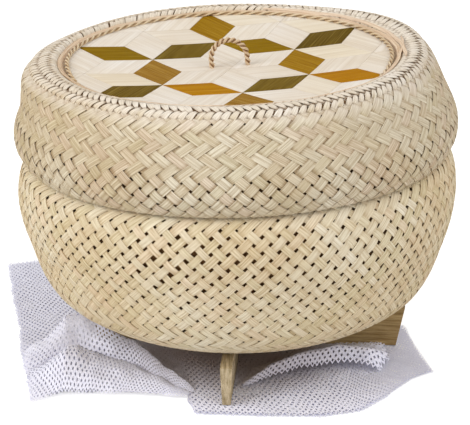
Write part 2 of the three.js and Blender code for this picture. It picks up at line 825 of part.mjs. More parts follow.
/** Height of the net's upper face: flat at the slats, raised along the folds. */
function netHeight(x, y) {
  const raised = net_fold_shares.reduce((sum, fold) => {
    const crest = fold.crest_shares.map(([cx, cy]) => [cx * net_span, cy * net_span]);
    const miss = distanceToLine([x, y], crest) / net_fold_width;
    return sum + fold.height_share * net_fold_height * Math.exp(-(miss ** 2));
  }, 0);
  const turn = THREE.MathUtils.degToRad(slat_turn_degrees);
  const along = Math.abs(x * Math.cos(turn) + y * Math.sin(turn));
  const across = Math.abs(y * Math.cos(turn) - x * Math.sin(turn));
  const reach = slat_top_length / 2 + net_slat_clearance;
  const beside = Math.min(
    Math.hypot(across, Math.max(along - reach, 0)),
    Math.hypot(along, Math.max(across - reach, 0)));
  const freedom = Math.min(Math.max(beside / net_slat_clearance - 1, 0), 1);
  return net_thickness + raised * freedom;
}

function netLiner() {
  const side = net_cells + 1;
  const top = [];
  for (let row = 0; row < side; row += 1) {
    for (let column = 0; column < side; column += 1) {
      const [x, y] = netPlan(column / net_cells, row / net_cells);
      top.push([x, y, netHeight(x, y)]);
    }
  }
  const bottom = top.map(([x, y]) => [x, y, 0]);
  const under = top.length;
  const faces = [];
  const quad = (a, b, c, d) => faces.push(a, b, c, a, c, d);
  for (let row = 0; row < net_cells; row += 1) {
    for (let column = 0; column < net_cells; column += 1) {
      const a = row * side + column;
      quad(a, a + 1, a + side + 1, a + side);
      quad(under + a, under + a + side, under + a + side + 1, under + a + 1);
    }
  }
  for (let i = 0; i < net_cells; i += 1) {
    const back = net_cells * side + i;
    const left = i * side;
    const right = i * side + net_cells;
    quad(i + 1, i, under + i, under + i + 1);
    quad(back, back + 1, under + back + 1, under + back);
    quad(left, left + side, under + left + side, under + left);
    quad(right + side, right, under + right, under + right + side);
  }
  const geometry = new THREE.BufferGeometry();
  const positions = new Float32Array([...top, ...bottom].flat());
  geometry.setAttribute("position", new THREE.BufferAttribute(positions, 3));
  geometry.setIndex(faces);
  return toSolid(geometry);
}

addPart("net_liner", netLiner(), net_white);

export default group;
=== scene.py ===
"""Looks of the sticky rice steamer basket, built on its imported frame.

Lengths are metres in the frame of the solids: +Z up, the basket axis on Z,
the photographed front towards -Y. Woven walls are real split strips that
pass over and under each other, the star panel is plaited from tiles, the
cords are twisted from strands and the net is a folded cloth with its meshes
open.
"""

import logging
import math
import random
from dataclasses import dataclass, replace
from enum import Enum
from functools import partial
from typing import Callable, Sequence

import bmesh
import bpy
import numpy as np
from bmesh.types import BMesh, BMVert
from bpy.types import Material, Mesh, Node, NodeSocket, NodeTree, Object
from mathutils import Matrix, Vector, noise
from numpy import ndarray

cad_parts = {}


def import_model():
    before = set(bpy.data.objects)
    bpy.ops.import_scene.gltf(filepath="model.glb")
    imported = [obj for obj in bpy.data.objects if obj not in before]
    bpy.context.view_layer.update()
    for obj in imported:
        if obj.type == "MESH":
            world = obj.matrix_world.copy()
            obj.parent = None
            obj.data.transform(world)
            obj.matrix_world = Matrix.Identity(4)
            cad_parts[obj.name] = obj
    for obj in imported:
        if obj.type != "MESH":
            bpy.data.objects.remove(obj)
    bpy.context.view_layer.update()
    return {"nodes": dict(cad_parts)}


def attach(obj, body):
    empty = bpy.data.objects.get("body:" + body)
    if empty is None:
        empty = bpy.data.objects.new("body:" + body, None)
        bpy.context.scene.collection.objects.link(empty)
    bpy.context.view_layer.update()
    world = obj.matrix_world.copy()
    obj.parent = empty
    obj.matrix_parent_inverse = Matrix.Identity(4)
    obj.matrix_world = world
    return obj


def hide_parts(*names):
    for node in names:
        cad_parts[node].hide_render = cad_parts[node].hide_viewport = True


LOG = logging.getLogger("steamer_basket")
LAY_ATTRIBUTE = "lay"
# Attribute whose value paints shade into the colour: where a strip dives, at a shaded hem, in a cord's
# valley.
DIVE_SHADE_ATTRIBUTE = "dive"
# Lengths closer than this are one place.
SAME_PLACE = 1e-6
# Steps that keep the noise of one strip apart from that of the next.
NOISE_STEP = 7.31
NOISE_SIDE_STEP = 1.73
# How flat a strip runs over its neighbours before it dives.
WAVE_SHARPNESS = 1.9

Point = tuple[float, float]
Line = tuple[Point, ...]
Spot = tuple[float, float, float]
Tones = tuple[tuple[float, str], ...]
Arrays = tuple[ndarray, ndarray]
Place = Callable[[ndarray], ndarray]
GridShape = Callable[[ndarray, ndarray], Arrays]
LineFrame = Callable[[ndarray], tuple[ndarray, ndarray, ndarray]]


class Body(Enum):
    """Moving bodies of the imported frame."""

    NET = "net"
    BASKET = "basket"
    LID = "lid"


class Slant(Enum):
    """Way in which a family of strips climbs a wall, seen from outside."""

    RISES_TO_RIGHT = 1
    RISES_TO_LEFT = -1


class Side(Enum):
    """Side of a meridian line, looking along it, that faces out of the wall."""

    LEFT = 1
    RIGHT = -1


def smoothstep(value: ndarray, low: float, high: float) -> ndarray:
    """Smooth step of a value between two limits."""
    share = np.clip((value - low) / (high - low), 0.0, 1.0)
    return share * share * (3.0 - 2.0 * share)


def wander(seed: float, run: float) -> float:
    """Smooth wandering value from about -1 to 1 along a run.

    Args:
        seed: Number of the line that wanders.
        run: Place along it, in steps over which it changes.

    Returns:
        The value, the same each time.
    """
    return 2.0 * noise.noise(Vector((run, seed * NOISE_STEP, seed * NOISE_SIDE_STEP)))


def weave_wave(phase: ndarray) -> ndarray:
    """Rise and dive of a strip, from 1 to -1, flat over each float of the weave."""
    return np.tanh(WAVE_SHARPNESS * np.cos(phase)) / math.tanh(WAVE_SHARPNESS)


def runs_along(points: ndarray) -> ndarray:
    """Length reached at each point of a line."""
    return np.concatenate([[0.0], np.cumsum(np.hypot(*np.diff(points, axis=0).T))])


def mesh_of(bm: BMesh, name: str) -> Mesh:
    """Turns a bmesh into a mesh and frees it.

    Args:
        bm: The bmesh.
        name: Name of the mesh.

    Returns:
        The mesh.
    """
    mesh = bpy.data.meshes.new(name)
    bm.to_mesh(mesh)
    bm.free()
    return mesh


def placed(name: str, data: bpy.types.ID) -> Object:
    """Adds an object to the scene.

    Args:
        name: Its name.
        data: Its mesh, camera or lamp.

    Returns:
        The object, at the origin.
    """
    obj = bpy.data.objects.new(name, data)
    bpy.context.scene.collection.objects.link(obj)
    return obj


@dataclass(frozen=True)
class Swell:
    """Place where the lid's woven face stands a little out of true.

    Angles are in degrees about the axis; heights are shares of the lid's
    rise; the outward and upward moves are in metres.
    """

    turn: float
    turn_spread: float
    height: float
    height_spread: float
    outward: float
    upward: float = 0.0


def as_is(points: ndarray) -> ndarray:
    """Leaves places where they are."""
    return points


class Meridian:
    """Smooth line of a revolved wall, as radius and height along its run."""

    def __init__(self, points: ndarray, outside: Side) -> None:
        """Keeps the line and works out its runs and normals.

        Args:
            points: Rows of radius and height, close together.
            outside: Side of the line that faces out of the wall.
        """
        steps = np.hypot(*np.diff(points, axis=0).T)
        self.points = points[np.concatenate([[True], steps > SAME_PLACE])]
        self.outside = outside
        self.runs = runs_along(self.points)
        tangent = np.gradient(self.points, self.runs, axis=0)
        tangent /= np.linalg.norm(tangent, axis=1)[:, None]
        self.tangent = tangent
        left = np.column_stack([-tangent[:, 1], tangent[:, 0]])
        self.normal = left * outside.value

    @classmethod
    def through(cls, corners: Sequence[Point], outside: Side, steps: int = 10) -> "Meridian":
        """Smooth line that passes through corners.

        Args:
            corners: Radius and height pairs.
            outside: Side of the line that faces out of the wall.
            steps: Points from one corner to the next.

        Returns:
            The line.
        """
        knots = np.array([corners[0], *corners, corners[-1]])
        line = []
        for i in range(1, len(knots) - 2):
            before, start, end, after = knots[i - 1], knots[i], knots[i + 1], knots[i + 2]
            for t in np.linspace(0.0, 1.0, steps, endpoint=False):
                line.append(0.5 * (
                    2 * start + (end - before) * t
                    + (2 * before - 5 * start + 4 * end - after) * t ** 2
                    + (3 * start - before - 3 * end + after) * t ** 3
                ))
        line.append(knots[-1])
        return cls(np.array(line), outside)

    def offset(self, inward: float) -> "Meridian":
        """The same line moved into the wall."""
        return Meridian(self.points - self.normal * inward, self.outside)

    def folded(self, near: float, far: float, depth: float, steps: int = 8) -> "Meridian":
        """Line of a layer that turns over the edge of the wall.

        Args:
            near: Depth of the layer below the outside face.
            far: Depth of the layer after the fold.
            depth: Length of the layer beyond the fold.
            steps: Points on the fold.

        Returns:
            The folded line.
        """
        outer = self.points - self.normal * near
        inner = (self.points - self.normal * far)[::-1]
        centre = (outer[-1] + inner[0]) / 2
        across = outer[-1] - centre
        ahead = self.tangent[-1] * np.linalg.norm(across)
        angles = np.linspace(0.0, math.pi, steps + 1)[1:-1]
        arc = [centre + across * math.cos(a) + ahead * math.sin(a) for a in angles]
        return Meridian(np.vstack([outer, arc, inner[runs_along(inner) < depth]]), self.outside)

    def capped(self, run: float, proud: float, dive_shade: float,
               eases: Point = (0.00308, 0.0022)) -> "Meridian":
        """Line of a band that lies on the first stretch and sinks in at both ends.

        Args:
            run: Length of the band.
            proud: Height of the band above the line.
            dive_shade: Depth below the line at the band's far end.
            eases: Lengths over which it sinks at its start and at its end.

        Returns:
            The band's line.
        """
        first, last = eases
        rise = proud - (proud + dive_shade) * smoothstep(self.runs, run - last, run)
        rise = rise - (proud + dive_shade / 2) * (1 - smoothstep(self.runs, 0.0, first))
        raised = Meridian(self.points + self.normal * rise[:, None], self.outside)
        return raised.upto(run)

    def upto(self, run: float) -> "Meridian":
        """The line up to a run."""
        return Meridian(self.points[self.runs <= run], self.outside)

    def at(self, runs: ndarray) -> tuple[ndarray, ndarray, ndarray, ndarray]:
        """Radius, height and the two parts of the outward normal at runs.

        Args:
            runs: Lengths along the line.

        Returns:
            Radius, height, normal's radius part, normal's height part.
        """
        return tuple(np.interp(runs, self.runs, part) for part in (*self.points.T, *self.normal.T))


@dataclass(frozen=True)
class Surface:
    """A meridian turned about the axis, then set as the piece it belongs to."""

    meridian: Meridian
    place: Place

    def points(self, turns: ndarray, runs: ndarray, lifts: ndarray) -> ndarray:
        """Places on the surface.

        Args:
            turns: Angles about the axis.
            runs: Lengths along the meridian.
            lifts: Heights above the surface, outwards.

        Returns:
            Rows of x, y, z.
        """
        radius, height, out_r, out_z = self.meridian.at(runs)
        reach = radius + out_r * lifts
        level = height + out_z * lifts
        return self.place(np.column_stack([reach * np.cos(turns), reach * np.sin(turns), level]))


class Mesher:
    """Collects grids laid on surfaces into one mesh object."""

    def __init__(self, name: str) -> None:
        """Starts an empty mesh with the attributes that finishes follow.

        Args:
            name: Name of the piece.
        """
        self.name = name
        self.bm = bmesh.new()
        self.lay = self.bm.verts.layers.float_vector.new(LAY_ATTRIBUTE)
        self.dive = self.bm.verts.layers.float.new(DIVE_SHADE_ATTRIBUTE)

    def grid(self, columns: int, rows: int, shape: GridShape,
             closed: bool = False) -> list[BMVert]:
        """Lays one grid.

        Args:
            columns: Cells along.
            rows: Cells across.
            shape: Takes the shares along and across, and gives places and lays,
            which may carry as a fourth value the share of shade painted into the colour.
            closed: Whether the last row meets the first.

        Returns:
            The grid's vertices.
        """
        made = bmesh.ops.create_grid(self.bm, x_segments=columns, y_segments=rows, size=0.5)["verts"]
        shares = np.array([(v.co.x + 0.5, v.co.y + 0.5) for v in made])
        places, lays = shape(shares[:, 0], shares[:, 1])
        for vert, place, lay in zip(made, places, lays):
            vert.co = place
            vert[self.lay] = lay[:3]
            vert[self.dive] = lay[3] if len(lay) > 3 else 0.0
        if closed:
            bmesh.ops.remove_doubles(self.bm, verts=made, dist=SAME_PLACE)
        return [vert for vert in made if vert.is_valid]

    def close_ring(self) -> None:
        """Joins the two ends of a ring."""
        bmesh.ops.remove_doubles(self.bm, verts=self.bm.verts[:], dist=SAME_PLACE)

    def thicken(self, thickness: float) -> None:
        """Gives the sheets a thickness below their faces."""
        bmesh.ops.solidify(self.bm, geom=self.bm.faces[:], thickness=thickness)

    def finished(self, body: Body, finish: Material, slot: str,
                 crease: float = 50.0) -> Object:
        """Makes the object.

        Args:
            body: Body that it rides on.
            finish: Its material.
            slot: Material slot of the record; not used.
            crease: Angle in degrees above which an edge stays sharp.

        Returns:
            The object, at the origin.
        """
        mesh = mesh_of(self.bm, self.name)
        mesh.shade_smooth()
        mesh.set_sharp_from_angle(angle=math.radians(crease))
        mesh.materials.append(finish)
        obj = placed(self.name, mesh)
        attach(obj, body.value)
        LOG.info("%s: %d faces", self.name, len(mesh.polygons))
        return obj


def paint(code: str) -> tuple[float, float, float, float]:
    """Linear colour of a web colour code.

    Args:
        code: Six digits after a hash sign.

    Returns:
        Red, green, blue and alpha.
    """
    def linear(value: float) -> float:
        """Linear light of one screen value."""
        return value / 12.92 if value <= 0.04045 else ((value + 0.055) / 1.055) ** 2.4

    parts = [linear(int(code[i:i + 2], 16) / 255) for i in (1, 3, 5)]
    return (*parts, 1.0)


class Wiring:
    """Adds nodes to a shader tree and joins them."""

    def __init__(self, tree: NodeTree) -> None:
        """Keeps the tree."""
        self.tree = tree

    def node(self, kind: str, inputs: dict | None = None, **settings: object) -> Node:
        """Adds a node.

        Args:
            kind: Node type without its ShaderNode prefix.
            inputs: Values or sockets by input name or number.
            settings: Properties of the node.

        Returns:
            The node.
        """
        made = self.tree.nodes.new("ShaderNode" + kind)
        for name, value in settings.items():
            setattr(made, name, value)
        for key, value in (inputs or {}).items():
            self.feed(made.inputs[key], value)
        return made

    def feed(self, socket: NodeSocket, value: object) -> None:
        """Sets a socket to a value or joins another socket to it.

        Args:
            socket: Socket that takes it.
            value: Plain value, or the socket that feeds it.
        """
        if isinstance(value, NodeSocket):
            self.tree.links.new(value, socket)
        else:
            socket.default_value = value

    def sum(self, operation: str, *values: object) -> NodeSocket:
        """Result of a Math node."""
        made = self.node("Math", dict(enumerate(values)), operation=operation)
        return made.outputs[0]

    def vector(self, x: object = 0.0, y: object = 0.0, z: object = 0.0) -> NodeSocket:
        """Vector of three values."""
        return self.node("CombineXYZ", {"X": x, "Y": y, "Z": z}).outputs[0]

    def noise(self, vector: object, scale: float, detail: float = 3.0,
              roughness: float = 0.5) -> NodeSocket:
        """Value of a noise texture."""
        inputs = {"Vector": vector, "Scale": scale, "Detail": detail, "Roughness": roughness}
        return self.node("TexNoise", inputs).outputs["Fac"]

    def ranged(self, value: object, low: float, high: float, out_low: float = 0.0,
               out_high: float = 1.0) -> NodeSocket:
        """Value moved from one range to another and held within it."""
        inputs = {0: value, 1: low, 2: high, 3: out_low, 4: out_high}
        return self.node("MapRange", inputs, clamp=True).outputs[0]

    def mix(self, share: object, first: object, second: object,
            blend: str = "MIX") -> NodeSocket:
        """Mix of two colours.

        Args:
            share: Share of the second colour.
            first: Colour below.
            second: Colour above.
            blend: Way in which it is laid on.

        Returns:
            The mixed colour.
        """
        made = self.node("Mix", data_type="RGBA", blend_type=blend, clamp_factor=True)
        self.feed(made.inputs[0], share)
        self.feed(made.inputs[6], first)
        self.feed(made.inputs[7], second)
        return made.outputs[2]

    def tint(self, colour: object, share: object, code: str) -> NodeSocket:
        """Colour multiplied by a share of a web colour."""
        return self.mix(share, colour, paint(code), "MULTIPLY")

    def distance(self, place: object) -> NodeSocket:
        """Distance of a place from the origin."""
        return self.node("VectorMath", {0: place}, operation="LENGTH").outputs["Value"]

    def ramp(self, value: object, stops: Tones) -> NodeSocket:
        """Colour from a ramp.

        Args:
            value: Place on the ramp.
            stops: Places and colour codes, first to last.

        Returns:
            The colour.
        """
        made = self.node("ValToRGB", {0: value})
        band = made.color_ramp
        while len(band.elements) < len(stops):
            band.elements.new(1.0)
        for element, (place, code) in zip(band.elements, stops):
            element.position = place
            element.color = paint(code)
        return made.outputs[0]

    def group(self, tree: NodeTree, **inputs: object) -> bpy.types.bpy_prop_collection:
        """Places a node group.

        Args:
            tree: The group.
            inputs: Values or sockets by input name in small letters.

        Returns:
            Its output sockets by name.
        """
        made = self.node("Group", node_tree=tree)
        for name, value in inputs.items():
            self.feed(made.inputs[name.replace("_", " ").capitalize()], value)
        return made.outputs

    def dress(self, shader: Node, colour: object, grain: object, rough: Point,
              specular: float, relief: Point) -> None:
        """Gives a surface its colour, and its roughness and relief by the grain.

        Args:
            shader: Surface shader.
            colour: Its colour.
            grain: Value from 0 to 1.
            rough: Roughness where the grain is 0 and where it is 1.
            specular: Strength of the gloss.
            relief: Depth of the grain in metres, and how strongly it shows.
        """
        depth, strength = relief
        bump = self.node("Bump", {"Height": grain, "Distance": depth, "Strength": strength})
        self.feed(shader.inputs["Base Color"], colour)
        self.feed(shader.inputs["Roughness"], self.ranged(grain, 0.0, 1.0, *rough))
        self.feed(shader.inputs["Specular IOR Level"], specular)
        self.feed(shader.inputs["Normal"], bump.outputs[0])


def new_material(name: str) -> tuple[Material, Wiring, Node]:
    """Starts a material.

    Args:
        name: Name of the material.

    Returns:
        The material, its wiring and its surface shader.
    """
    made = bpy.data.materials.new(name)
    made.use_nodes = True
    return made, Wiring(made.node_tree), made.node_tree.nodes["Principled BSDF"]


def new_group(name: str, inputs: dict[str, tuple[str, object]],
              outputs: dict[str, str]) -> tuple[NodeTree, Wiring, dict, Node]:
    """Starts a shader node group.

    Args:
        name: Name of the group.
        inputs: Socket kind and first value by input name.
        outputs: Socket kind by output name.

    Returns:
        The tree, its wiring, the input sockets by name and the output node.
    """
    tree = bpy.data.node_groups.new(name, "ShaderNodeTree")
    for label, (kind, value) in inputs.items():
        socket = tree.interface.new_socket(label, in_out="INPUT", socket_type="NodeSocket" + kind)
        if kind != "Vector":
            socket.default_value = value
    for label, kind in outputs.items():
        tree.interface.new_socket(label, in_out="OUTPUT", socket_type="NodeSocket" + kind)
    wires = Wiring(tree)
    source = tree.nodes.new("NodeGroupInput")
    target = tree.nodes.new("NodeGroupOutput")
    return tree, wires, {label: source.outputs[label] for label in inputs}, target


class SharedEffects:
    """Node groups that several finishes use."""

    STREAK_BREADTH = 0.22
    FIBRE_RANGE = (0.3, 0.7)
    STREAK_RANGE = (0.28, 0.72)
    PATCH_RANGE = (0.3, 0.7)

    def __init__(self) -> None:
        """Builds the groups once."""
        self.grain = self._grain()
        self.ageing = self._ageing()

    def _grain(self) -> NodeTree:
        """Long fibres of split bamboo along a strip, with broad streaks.

        Returns:
            The group.
        """
        tree, wires, given, target = new_group(
            "split_fibre_grain",
            {"Lay": ("Vector", None), "Fibre width": ("Float", 0.00035), "Fibre length": ("Float", 0.02)},
            {"Fibre": "Float", "Streak": "Float", "Pick": "Float"},
        )
        parts = wires.node("SeparateXYZ", {0: given["Lay"]}).outputs
        along = wires.sum("DIVIDE", parts[0], given["Fibre length"])
        across = wires.sum("DIVIDE", parts[1], given["Fibre width"])
        apart = wires.sum("MULTIPLY", parts[2], NOISE_STEP)
        fine = wires.noise(wires.vector(along, across, apart), 1.0, 4.0, 0.62)
        wide = wires.sum("MULTIPLY", across, self.STREAK_BREADTH)
        broad = wires.noise(wires.vector(along, wide, apart), 1.0, 2.0)
        pick = wires.node("TexWhiteNoise", {"W": parts[2]}, noise_dimensions="1D").outputs["Value"]
        wires.feed(target.inputs["Fibre"], wires.ranged(fine, *self.FIBRE_RANGE))
        wires.feed(target.inputs["Streak"], wires.ranged(broad, *self.STREAK_RANGE))
        wires.feed(target.inputs["Pick"], pick)
        return tree

    def _ageing(self) -> NodeTree:
        """Patches of sun and handling that change slowly over the whole piece.

        Returns:
            The group.
        """
        tree, wires, given, target = new_group(
            "handling_and_age",
            {"Place": ("Vector", None), "Patch size": ("Float", 0.05)},
            {"Patch": "Float"},
        )
        scaled = wires.node("VectorMath", {0: given["Place"]}, operation="SCALE")
        wires.feed(scaled.inputs["Scale"], wires.sum("DIVIDE", 1.0, given["Patch size"]))
        patch = wires.noise(scaled.outputs[0], 1.0, 3.0)
        wires.feed(target.inputs["Patch"], wires.ranged(patch, *self.PATCH_RANGE))
        return tree


@dataclass(frozen=True)
class BambooFinish:
    """Split bamboo, cane or dyed strip, with its fibres along the strip."""

    name: str
    tones: Tones
    fibre_dark: str
    fibre_light: str = "#f6eed8"
    fibre_share: float = 0.6
    glint_share: float = 0.45
    streak_share: float = 0.3
    # Painted shade, tinted in where a strip dives, at a shaded hem and in a cord's valley.
    dive_tone: str = "#b08a5c"
    dive_share: float = 0.85
    aged: str = "#dcc7a0"
    aged_share: float = 0.5
    # Painted light laid on faces that look upwards.
    bleached: str = "#f6eae2"
    bleached_share: float = 0.0
    fibre_width: float = 0.00045
    fibre_length: float = 0.016
    groove_below: float = 0.6
    glint_above: float = 0.55
    top_light_slopes: Point = (0.45, 0.9)
    dive_shade_depths: Point = (0.12, 0.75)
    roughness: float = 0.72
    roughness_steps: Point = (0.1, -0.06)
    specular: float = 0.12
    relief: Point = (0.00012, 0.8)

    def material(self, effects: SharedEffects) -> Material:
        """Builds the material.

        Args:
            effects: The shared node groups.

        Returns:
            The material.
        """
        made, wires, shader = new_material(self.name)
        lay = wires.node("Attribute", attribute_name=LAY_ATTRIBUTE).outputs["Vector"]
        dive = wires.node("Attribute", attribute_name=DIVE_SHADE_ATTRIBUTE).outputs["Fac"]
        facing = wires.node("NewGeometry").outputs["Normal"]
        upward = wires.node("SeparateXYZ", {0: facing}).outputs[2]
        grain = wires.group(
            effects.grain, lay=lay, fibre_width=self.fibre_width, fibre_length=self.fibre_length)
        age = wires.group(effects.ageing, place=wires.node("TexCoord").outputs["Object"])
        fibre = grain["Fibre"]
        groove = wires.ranged(fibre, 0.0, self.groove_below, self.fibre_share, 0.0)
        glint = wires.ranged(fibre, self.glint_above, 1.0, 0.0, self.glint_share)
        streak = wires.sum("MULTIPLY", grain["Streak"], self.streak_share)
        patch = wires.sum("MULTIPLY", age["Patch"], self.aged_share)
        # Painted light: faces that look upwards are lightened.
        painted_top_light = wires.ranged(upward, *self.top_light_slopes, 0.0, self.bleached_share)
        # Painted shade: darker where the strip dives under another, at a hem and in a cord's valley.
        dive_shade = wires.ranged(dive, *self.dive_shade_depths, 0.0, self.dive_share)
        colour = wires.tint(wires.ramp(grain["Pick"], self.tones), groove, self.fibre_dark)
        colour = wires.tint(colour, streak, self.fibre_dark)
        colour = wires.mix(glint, colour, paint(self.fibre_light))
        colour = wires.tint(colour, patch, self.aged)
        colour = wires.mix(painted_top_light, colour, paint(self.bleached))
        colour = wires.tint(colour, dive_shade, self.dive_tone)
        rough = tuple(self.roughness + step for step in self.roughness_steps)
        wires.dress(shader, colour, fibre, rough, self.specular, self.relief)
        return made


@dataclass(frozen=True)
class PlainWoodFinish:
    """Wood of a solid without a lay of its own, with grain along one axis."""

    name: str
    light: str
    dark: str
    grain_scale: Spot
    grain_span: Point = (0.32, 0.68)
    grain_share: float = 0.75
    age_share: float = 0.4
    patch_size: float = 0.03
    roughness: Point = (0.8, 0.68)
    specular: float = 0.3
    relief: Point = (0.00015, 0.9)

    def material(self, effects: SharedEffects) -> Material:
        """Builds the material.

        Args:
            effects: The shared node groups.

        Returns:
            The material.
        """
        made, wires, shader = new_material(self.name)
        place = wires.node("TexCoord").outputs["Object"]
        stretched = wires.node("VectorMath", {0: place, 1: self.grain_scale},
                               operation="MULTIPLY").outputs[0]
        fine = wires.ranged(wires.noise(stretched, 1.0, 5.0, 0.6), *self.grain_span)
        age = wires.group(effects.ageing, place=place, patch_size=self.patch_size)
        share = wires.sum("MULTIPLY", age["Patch"], self.age_share)
        mixed = wires.sum("ADD", wires.sum("MULTIPLY", fine, self.grain_share), share)
        colour = wires.ramp(mixed, ((0.1, self.dark), (0.85, self.light)))
        wires.dress(shader, colour, fine, self.roughness, self.specular, self.relief)
        return made


@dataclass(frozen=True)
class NetFinish:
    """White knitted thread, faintly lavender, slightly soiled in places, with a brown shade painted on it
    under the basket.
    """

    name: str = "net_thread"
    light: str = "#f1f1ff"
    dark: str = "#dcdcf2"
    stain: str = "#cfc3ae"
    stain_share: float = 0.1
    patch_size: float = 0.035
    # Painted shade: brown laid on the net under the basket, fading outwards.
    under_basket_shade: str = "#a88c74"
    under_basket_shade_from: float = 0.03
    under_basket_shade_radius: float = 0.062
    under_basket_shade_share: float = 0.8
    yarn_scale: float = 1500.0
    roughness: Point = (0.95, 0.8)
    specular: float = 0.2
    relief: Point = (0.0002, 0.7)
    sheen: float = 0.15

    def material(self, effects: SharedEffects) -> Material:
        """Builds the material.

        Args:
            effects: The shared node groups.

        Returns:
            The material.
        """
        made, wires, shader = new_material(self.name)
        place = wires.node("TexCoord").outputs["Object"]
        thread = wires.ranged(wires.noise(place, self.yarn_scale, 3.0, 0.6), 0.3, 0.7)
        age = wires.group(effects.ageing, place=place, patch_size=self.patch_size)
        patch = wires.sum("MULTIPLY", age["Patch"], self.stain_share)
        # Painted shade under the basket.
        painted_under_basket_shade = wires.ranged(wires.distance(place), self.under_basket_shade_from, self.under_basket_shade_radius,
                             self.under_basket_shade_share, 0.0)
        colour = wires.ramp(thread, ((0.0, self.dark), (0.6, self.light)))
        colour = wires.tint(colour, patch, self.stain)
        colour = wires.tint(colour, painted_under_basket_shade, self.under_basket_shade)
        wires.dress(shader, colour, thread, self.roughness, self.specular, self.relief)
        wires.feed(shader.inputs["Sheen Weight"], self.sheen)
        return made


class Finishes:
    """All the finishes of the basket, built once."""

    BODY_TONES = (
        (0.0, "#e4d8bc"), (0.35, "#ece5d2"), (0.6, "#dfd5b6"), (0.8, "#e9dac2"), (1.0, "#e6dec2"),
    )
    LID_TONES = (
        (0.0, "#d3c8b0"), (0.35, "#dad2bf"), (0.6, "#cbc0a2"), (0.8, "#d8c9b6"), (1.0, "#d2c8ac"),
    )
    CREST_TONES = ((0.0, "#e8dfcf"), (0.4, "#f2ece2"), (0.7, "#ddd1ba"), (1.0, "#eee4d6"))
    IVORY_TONES = ((0.0, "#ebe4dc"), (0.4, "#e8e0d5"), (0.7, "#efeae5"), (1.0, "#eae0cc"))
    CANE_TONES = ((0.0, "#eedec4"), (0.5, "#e8d2b2"), (1.0, "#f2e6d4"))
    INNER_TONES = ((0.0, "#cdb88a"), (0.5, "#c4ae7e"), (1.0, "#d2c094"))
    TWINE_TONES = ((0.0, "#f2e6cc"), (1.0, "#ead8b8"))
    BINDING_TONES = ((0.0, "#f4e4d2"), (1.0, "#ead4ba"))
    DYES = (
        ("olive", ((0.0, "#90700a"), (1.0, "#866808")), "#b8a060", "#a88c28"),
        ("ochre", ((0.0, "#b68208"), (1.0, "#b27c08")), "#c89858", "#cc9c34"),
        ("dark_olive", ((0.0, "#7c641e"), (1.0, "#64501a")), "#a08c58", "#947e3c"),
        ("gold", ((0.0, "#ac7c14"), (1.0, "#9a7a18")), "#b89860", "#c09a3a"),
        ("tan", ((0.0, "#ae8a40"), (1.0, "#9c7426")), "#b89c68", "#c0a05c"),
    )

    def __init__(self) -> None:
        """Builds the materials."""
        self.effects = SharedEffects()
        self.body = self._bamboo(
            "body_split_bamboo", self.BODY_TONES, "#b89e74", dive_tone="#c4ac84", dive_share=0.25)
        self.lid = self._bamboo(
            "lid_split_bamboo", self.LID_TONES, "#b39a72", dive_tone="#b49a70", dive_share=0.55,
            bleached="#f2e8de", bleached_share=0.45)
        self.crest = self._bamboo(
            "crest_split_bamboo", self.CREST_TONES, "#a88a5e", fibre_share=0.5, dive_tone="#7c5e3a",
            dive_share=0.95, aged="#e4d2b0", bleached="#f2eae0", bleached_share=0.25)
        self.inside = self._bamboo("inner_split_bamboo", self.INNER_TONES, "#8f7442")
        self.ivory = self._bamboo(
            "ivory_shaved_bamboo", self.IVORY_TONES, "#d8c8ae", fibre_share=0.3, streak_share=0.4,
            glint_share=0.2, aged="#efe2c8", fibre_width=0.0007, fibre_length=0.05, roughness=0.6)
        self.cane = self._bamboo(
            "twisted_cane", self.CANE_TONES, "#b8905c", fibre_width=0.00025, fibre_length=0.008,
            roughness=0.6, dive_share=0.7)
        self.twine = self._bamboo(
            "border_twine", self.TWINE_TONES, "#b08c5c", fibre_width=0.00022, fibre_length=0.006,
            roughness=0.65, dive_share=0.6)
        self.binding = self._bamboo(
            "flat_cane", self.BINDING_TONES, "#b08c60", fibre_width=0.0003, fibre_length=0.015,
            roughness=0.65)
        self.dyes = {
            name: self._bamboo(
                f"dyed_{name}", tones, dark, fibre_light=light, fibre_share=0.55, glint_share=0.6,
                aged="#e8dcc0", aged_share=0.4, fibre_width=0.0006, fibre_length=0.03,
                roughness=0.7, specular=0.03)
            for name, tones, dark, light in self.DYES
        }
        self.slat = self._wood("slat_bamboo", "#b39868", "#785c32", (30.0, 900.0, 900.0))
        # Painted light: a paler copy of the slat finish for the front slat, which is more strongly lit.
        self.slat_painted_lit = self._wood("slat_bamboo_painted_lit", "#c4b292", "#84724e", (1000.0, 60.0, 240.0))
        # Painted shade: the hidden layers are dark brown for the shade seen through the holes of the
        # weave.
        self.hidden_layer_shade = self._wood("painted_shade_layer", "#a87c4c", "#74502c", (300.0, 300.0, 300.0))
        self.hoop = self._wood("hoop_bamboo", "#c9a46a", "#94723a", (60.0, 60.0, 1400.0))
        self.lashing = self._wood("lashing_cane", "#dcbf98", "#9c7a48", (500.0, 500.0, 500.0))
        self.panel_ground = self._wood("panel_ground", "#d8cbb0", "#b29c74", (60.0, 700.0, 700.0))
        self.net = NetFinish().material(self.effects)

    def _bamboo(self, name: str, tones: Tones, dark: str, **looks: object) -> Material:
        """Builds the material of a bamboo, cane or dyed strip."""
        return BambooFinish(name, tones, dark, **looks).material(self.effects)

    def _wood(self, name: str, light: str, dark: str, scale: Spot) -> Material:
        """Builds the material of a solid piece of wood."""
        return PlainWoodFinish(name, light, dark, scale).material(self.effects)


